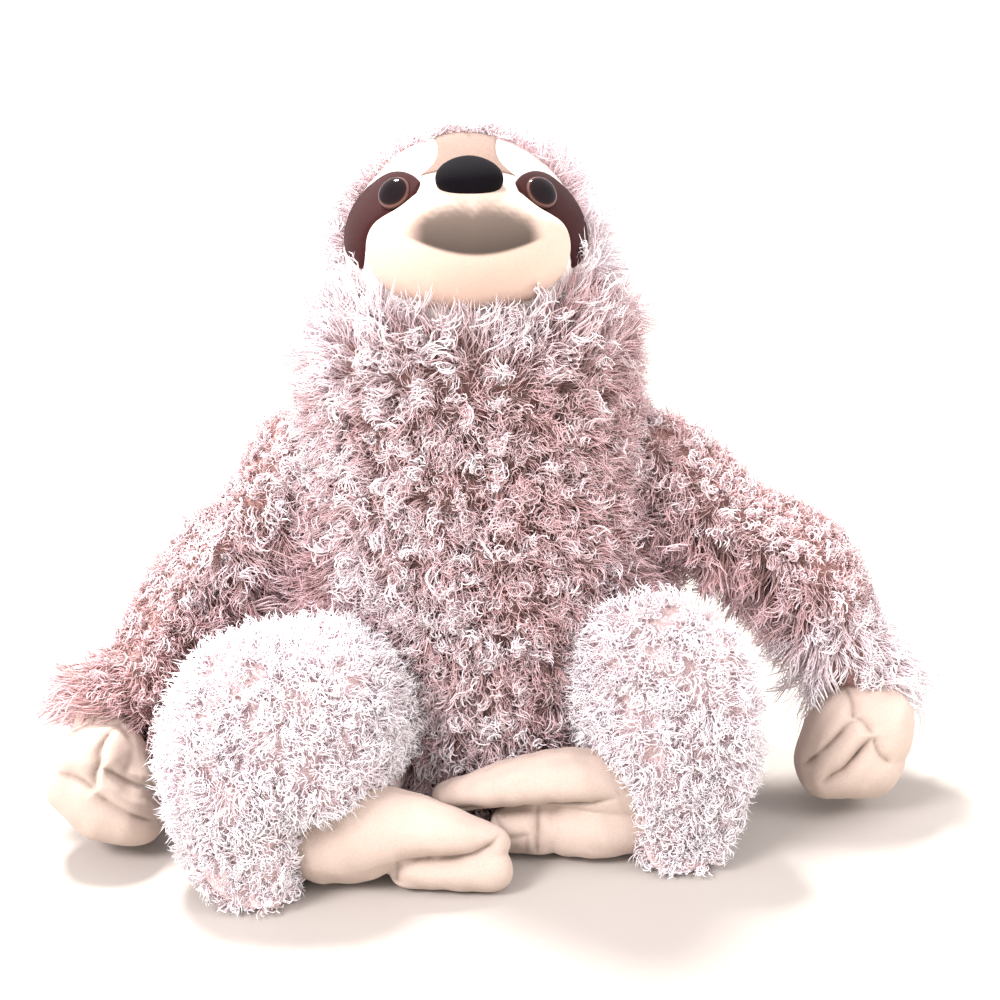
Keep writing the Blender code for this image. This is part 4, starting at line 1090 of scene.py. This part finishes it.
# Plush bodies
def notch(body, places):
    """From 0 to 1, how far each place lies where a leg gives way to its foot."""
    side = side_of(body)
    inner, top, _ = NOTCHES[side]
    across = step_up(-SIDES[side] * places[:, 0], -abs(inner) - 0.004, -abs(inner) + 0.004)
    return across * step_up(-places[:, 2], -top - 0.005, -top + 0.003)


def press_notch(skin, body):
    points = points_of(skin)
    front = NOTCHES[side_of(body)][2]
    points[:, 1] += (np.maximum(points[:, 1], front) - points[:, 1]) * notch(body, points)
    set_points(skin, points)


def sleeve_end(body, places, ways):
    """True on the end of a sleeve, where the hand comes out."""
    _, _, wrist, palm = ARMS[side_of(body)]
    along = unit(palm - wrist)
    return (ways @ along > 0.55) & ((places - wrist) @ along > 0.0)


def comb_torso(places, lengths, leans, tones_and_painted_light):
    """Longer at the hips and the collar, and paler at the collar. Painted light makes the right side paler;
    painted shade darkens the left side, the hips and where the right arm lies against it.
    """
    hips = step_up(np.abs(places[:, 0]), 0.050, 0.064) * step_up(-places[:, 2], -0.128, -0.090)
    collar = step_up(places[:, 2], 0.172, 0.208) * step_up(-places[:, 1], -0.03, 0.01)
    lengths += 0.65 * hips + 0.7 * collar
    leans += collar[:, None] * np.array((0.0, -0.50, 1.45))
    arm_shade = step_up(-places[:, 0], 0.052, 0.066) * step_up(-places[:, 2], -0.150, -0.120)
    # painted light on the right side, painted shade at the hips, against the right arm and on the left side;
    # the collar paler
    tones_and_painted_light += 0.28 * step_up(-places[:, 0], -0.01, 0.05) + 0.40 * collar - 0.6 * hips - 0.7 * arm_shade
    tones_and_painted_light -= 0.26 * step_up(places[:, 0], 0.0, 0.05)


def comb_head(places, lengths, leans, tones_and_painted_light):
    """A fringe over the seam that turns in under the chin, longer to the left and painted paler there, as
    light on the side the lamps leave in shade.
    """
    local = to_head(places)
    fringe = 1 - step_up(local[:, 1] + seam_at(local[:, 2]), 0.002, 0.012)
    low = step_up(-local[:, 2], -0.006, 0.016)
    inward = -unit(local * (1, 0, 1)) * 0.9 * low[:, None]
    crown = step_up(local[:, 2], 0.030, 0.045) * step_up(-local[:, 0], -0.024, -0.010)
    lengths += 0.55 * step_up(local[:, 0], 0.018, 0.040) + 0.25 * low - 0.30 * crown
    leans += (fringe[:, None] * ((0.0, -0.75, 0.0) + inward)) @ HEAD[:3, :3].T
    # painted light: the left side of the head painted paler
    tones_and_painted_light += 0.6 * step_up(local[:, 0], 0.0, 0.03)


def comb_arm(side, places, ways, lengths, leans, tones_and_painted_light):
    """Longer on the inner side, which painted shade darkens, short outside the elbow, with a frill out over
    the cuff; each half of a sleeve is painted paler or darker for how the light falls on it.
    """
    _, elbow, wrist, _ = ARMS[side]
    cuff = 1 - step_up(np.linalg.norm(places - wrist, axis=1), 0.020, 0.034)
    outward = ways @ unit(np.array((SIDES[side], 0.0, 1.0)))
    inside = step_up(-outward, 0.1, 0.8)
    front = step_up(-ways[:, 1], 0.1, 0.7)
    lengths += 0.70 * inside - 0.65 * step_up(outward, 0.05, 0.6) * (1 - cuff)
    lengths += 0.85 * cuff * (1 - 1.2 * front)
    leans[:, 2] = -0.40
    leans += cuff[:, None] * (unit(wrist - elbow) * 0.7 + np.array((SIDES[side] * 0.85, 0.0, 0.0)))
    lower = step_up(-places[:, 2], -0.105, -0.060)
    upper_painted_light, lower_painted_light = SLEEVE_PAINTED_LIGHT[side]
    # painted shade on the inner side, and painted light and shade on each half of the sleeve
    tones_and_painted_light += lower_painted_light * lower - 0.55 * inside * (1 - cuff)
    tones_and_painted_light += upper_painted_light * (1 - lower)


def comb_leg(body, places, lengths, leans, tones_and_painted_light):
    """Shorter all over, most where the leg meets the floor and its foot, and painted darker near the floor
    as shade.
    """
    low = 1 - step_up(places[:, 2], 0.016, 0.050)
    lengths -= 0.28 + 0.10 * notch(body, places - (0, 0, 0.008)) + 0.30 * low
    leans[:, 2] += 0.5 * low
    # painted shade near the floor
    tones_and_painted_light -= 0.25 * low


def comb(body, places, ways, centres, gather):
    """Lengths as shares, leans, and tones with painted light and shade, of the pile at these places, drawn
    together into locks.
    """
    lengths, tones_and_painted_light = np.ones(len(places)), np.zeros(len(places))
    leans = np.tile((0.0, 0.0, -0.25), (len(places), 1))
    swirl = np.random.default_rng(SWIRL_SEED)
    leans += 0.75 * (np.stack([soft_noise(places, 0.016, swirl) for _ in range(3)], 1) - 0.5)
    if body == "torso":
        comb_torso(places, lengths, leans, tones_and_painted_light)
    elif body == "head":
        comb_head(places, lengths, leans, tones_and_painted_light)
    elif body.startswith("arm"):
        comb_arm(side_of(body), places, ways, lengths, leans, tones_and_painted_light)
    else:
        comb_leg(body, places, lengths, leans, tones_and_painted_light)
        gather *= LEG_GATHER
    finder = KDTree(len(centres))
    for i, centre in enumerate(centres):
        finder.insert(centre, i)
    finder.balance()
    nearest = np.array([finder.find(place)[0] for place in places])
    leans += gather * np.clip((nearest - places) / (LOCK_SPACING / 2), -1, 1)
    return lengths, leans, tones_and_painted_light


def plush_forms():
    """The outer form of each plush body and the node that it stands for."""
    forms = {
        "torso": (trunk_rings(), "torso_fur_cover"),
        "head": (from_head(ball_grid((HOOD,) * 3)), "head_fur_cover"),
    }
    for side in SIDES:
        forms[f"arm_{side}"] = (tube(arm_stations(side), flat_end=True), f"arm_fur_cover_{side}")
        forms[f"leg_{side}"] = (leg_rings(side), f"leg_fur_cover_{side}")
    return forms


def head_ground(material):
    """The hood's ground, open round the face."""
    hood = HOOD - PILE_DEPTH
    ends = np.full(FACE_SIDES, math.pi - 0.02)
    back = ball_part(hood, seam_turns(hood, FACE_SIDES), ends, 50, FACE_SIDES)
    return loft("head_ground", from_head(np.concatenate((back[:1] * 0.9, back))), material)


def build_grounds():
    """The ground of each plush body, and a tree of its outer form."""
    mauve = backing_material("mauve_ground", srgb(152, 114, 108), srgb(184, 146, 140))
    pale = backing_material("pale_ground", srgb(222, 196, 194), srgb(242, 222, 220))
    skins, trees = {}, {}
    for body, (rings, node) in plush_forms().items():
        ground = pale if PALENESS_AND_PAINTED_LIGHT[body] > PALE_FROM else mauve
        skin = loft(f"{body}_ground", rings, ground)
        trees[body] = tree_of(skin)
        if body == "head":
            bpy.data.objects.remove(skin, do_unlink=True)
            skin = head_ground(ground)
        else:
            sink(skin, body)
        if body.startswith("leg"):
            press_notch(skin, body)
        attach(skin, body)
        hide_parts(node, node.replace("fur_cover", "stuffing"))
        skins[body] = skin
    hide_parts("pellet_pouch", "pellets")
    return skins, trees


def build_plush():
    fur = fur_material()
    skins, trees = build_grounds()
    for number, (body, skin) in enumerate(skins.items()):
        others = [tree for name, tree in trees.items() if name != body]
        centres, _ = scatter(skin, LOCK_SPACING, np.random.default_rng(LOCK_SEED + number))
        for coat, kind in (("undercoat", UNDERCOAT), ("tufts", TUFTS)):
            rng = np.random.default_rng(kind["seed"] + number)
            places, ways = scatter(skin, kind["spacing"], rng)
            clear = outside(places, others, PILE_OVERLAP)
            if body == "head":
                clear &= behind_seam(to_head(places))
            elif body.startswith("leg"):
                clear &= notch(body, places) < 0.5
            elif body.startswith("arm"):
                clear &= ~sleeve_end(body, places, ways)
            places, ways = places[clear], ways[clear]
            combed = comb(body, places, ways, centres, kind["gather"])
            grow(f"{body}_{coat}", body, places, ways, rng, fur, kind, combed)


build_floor()
build_room()
build_lights()
build_camera()
build_plush()
white = velour("face_white", srgb(250, 244, 240), srgb(240, 228, 222), sheen=0.15)
muzzle_white = velour(
    "muzzle_white", srgb(224, 200, 185), srgb(210, 182, 164), sheen=0.10, paint=srgb(80, 70, 64)
)
build_face(white, muzzle_white)
# the cream's paint draws the crease threads and the painted shade along the creases
cream = velour("hand_cream", srgb(204, 186, 174), srgb(186, 165, 152), sheen=0.10, paint=srgb(88, 68, 57))
for side in SIDES:
    build_hand(side, cream)
    build_foot(side, cream)
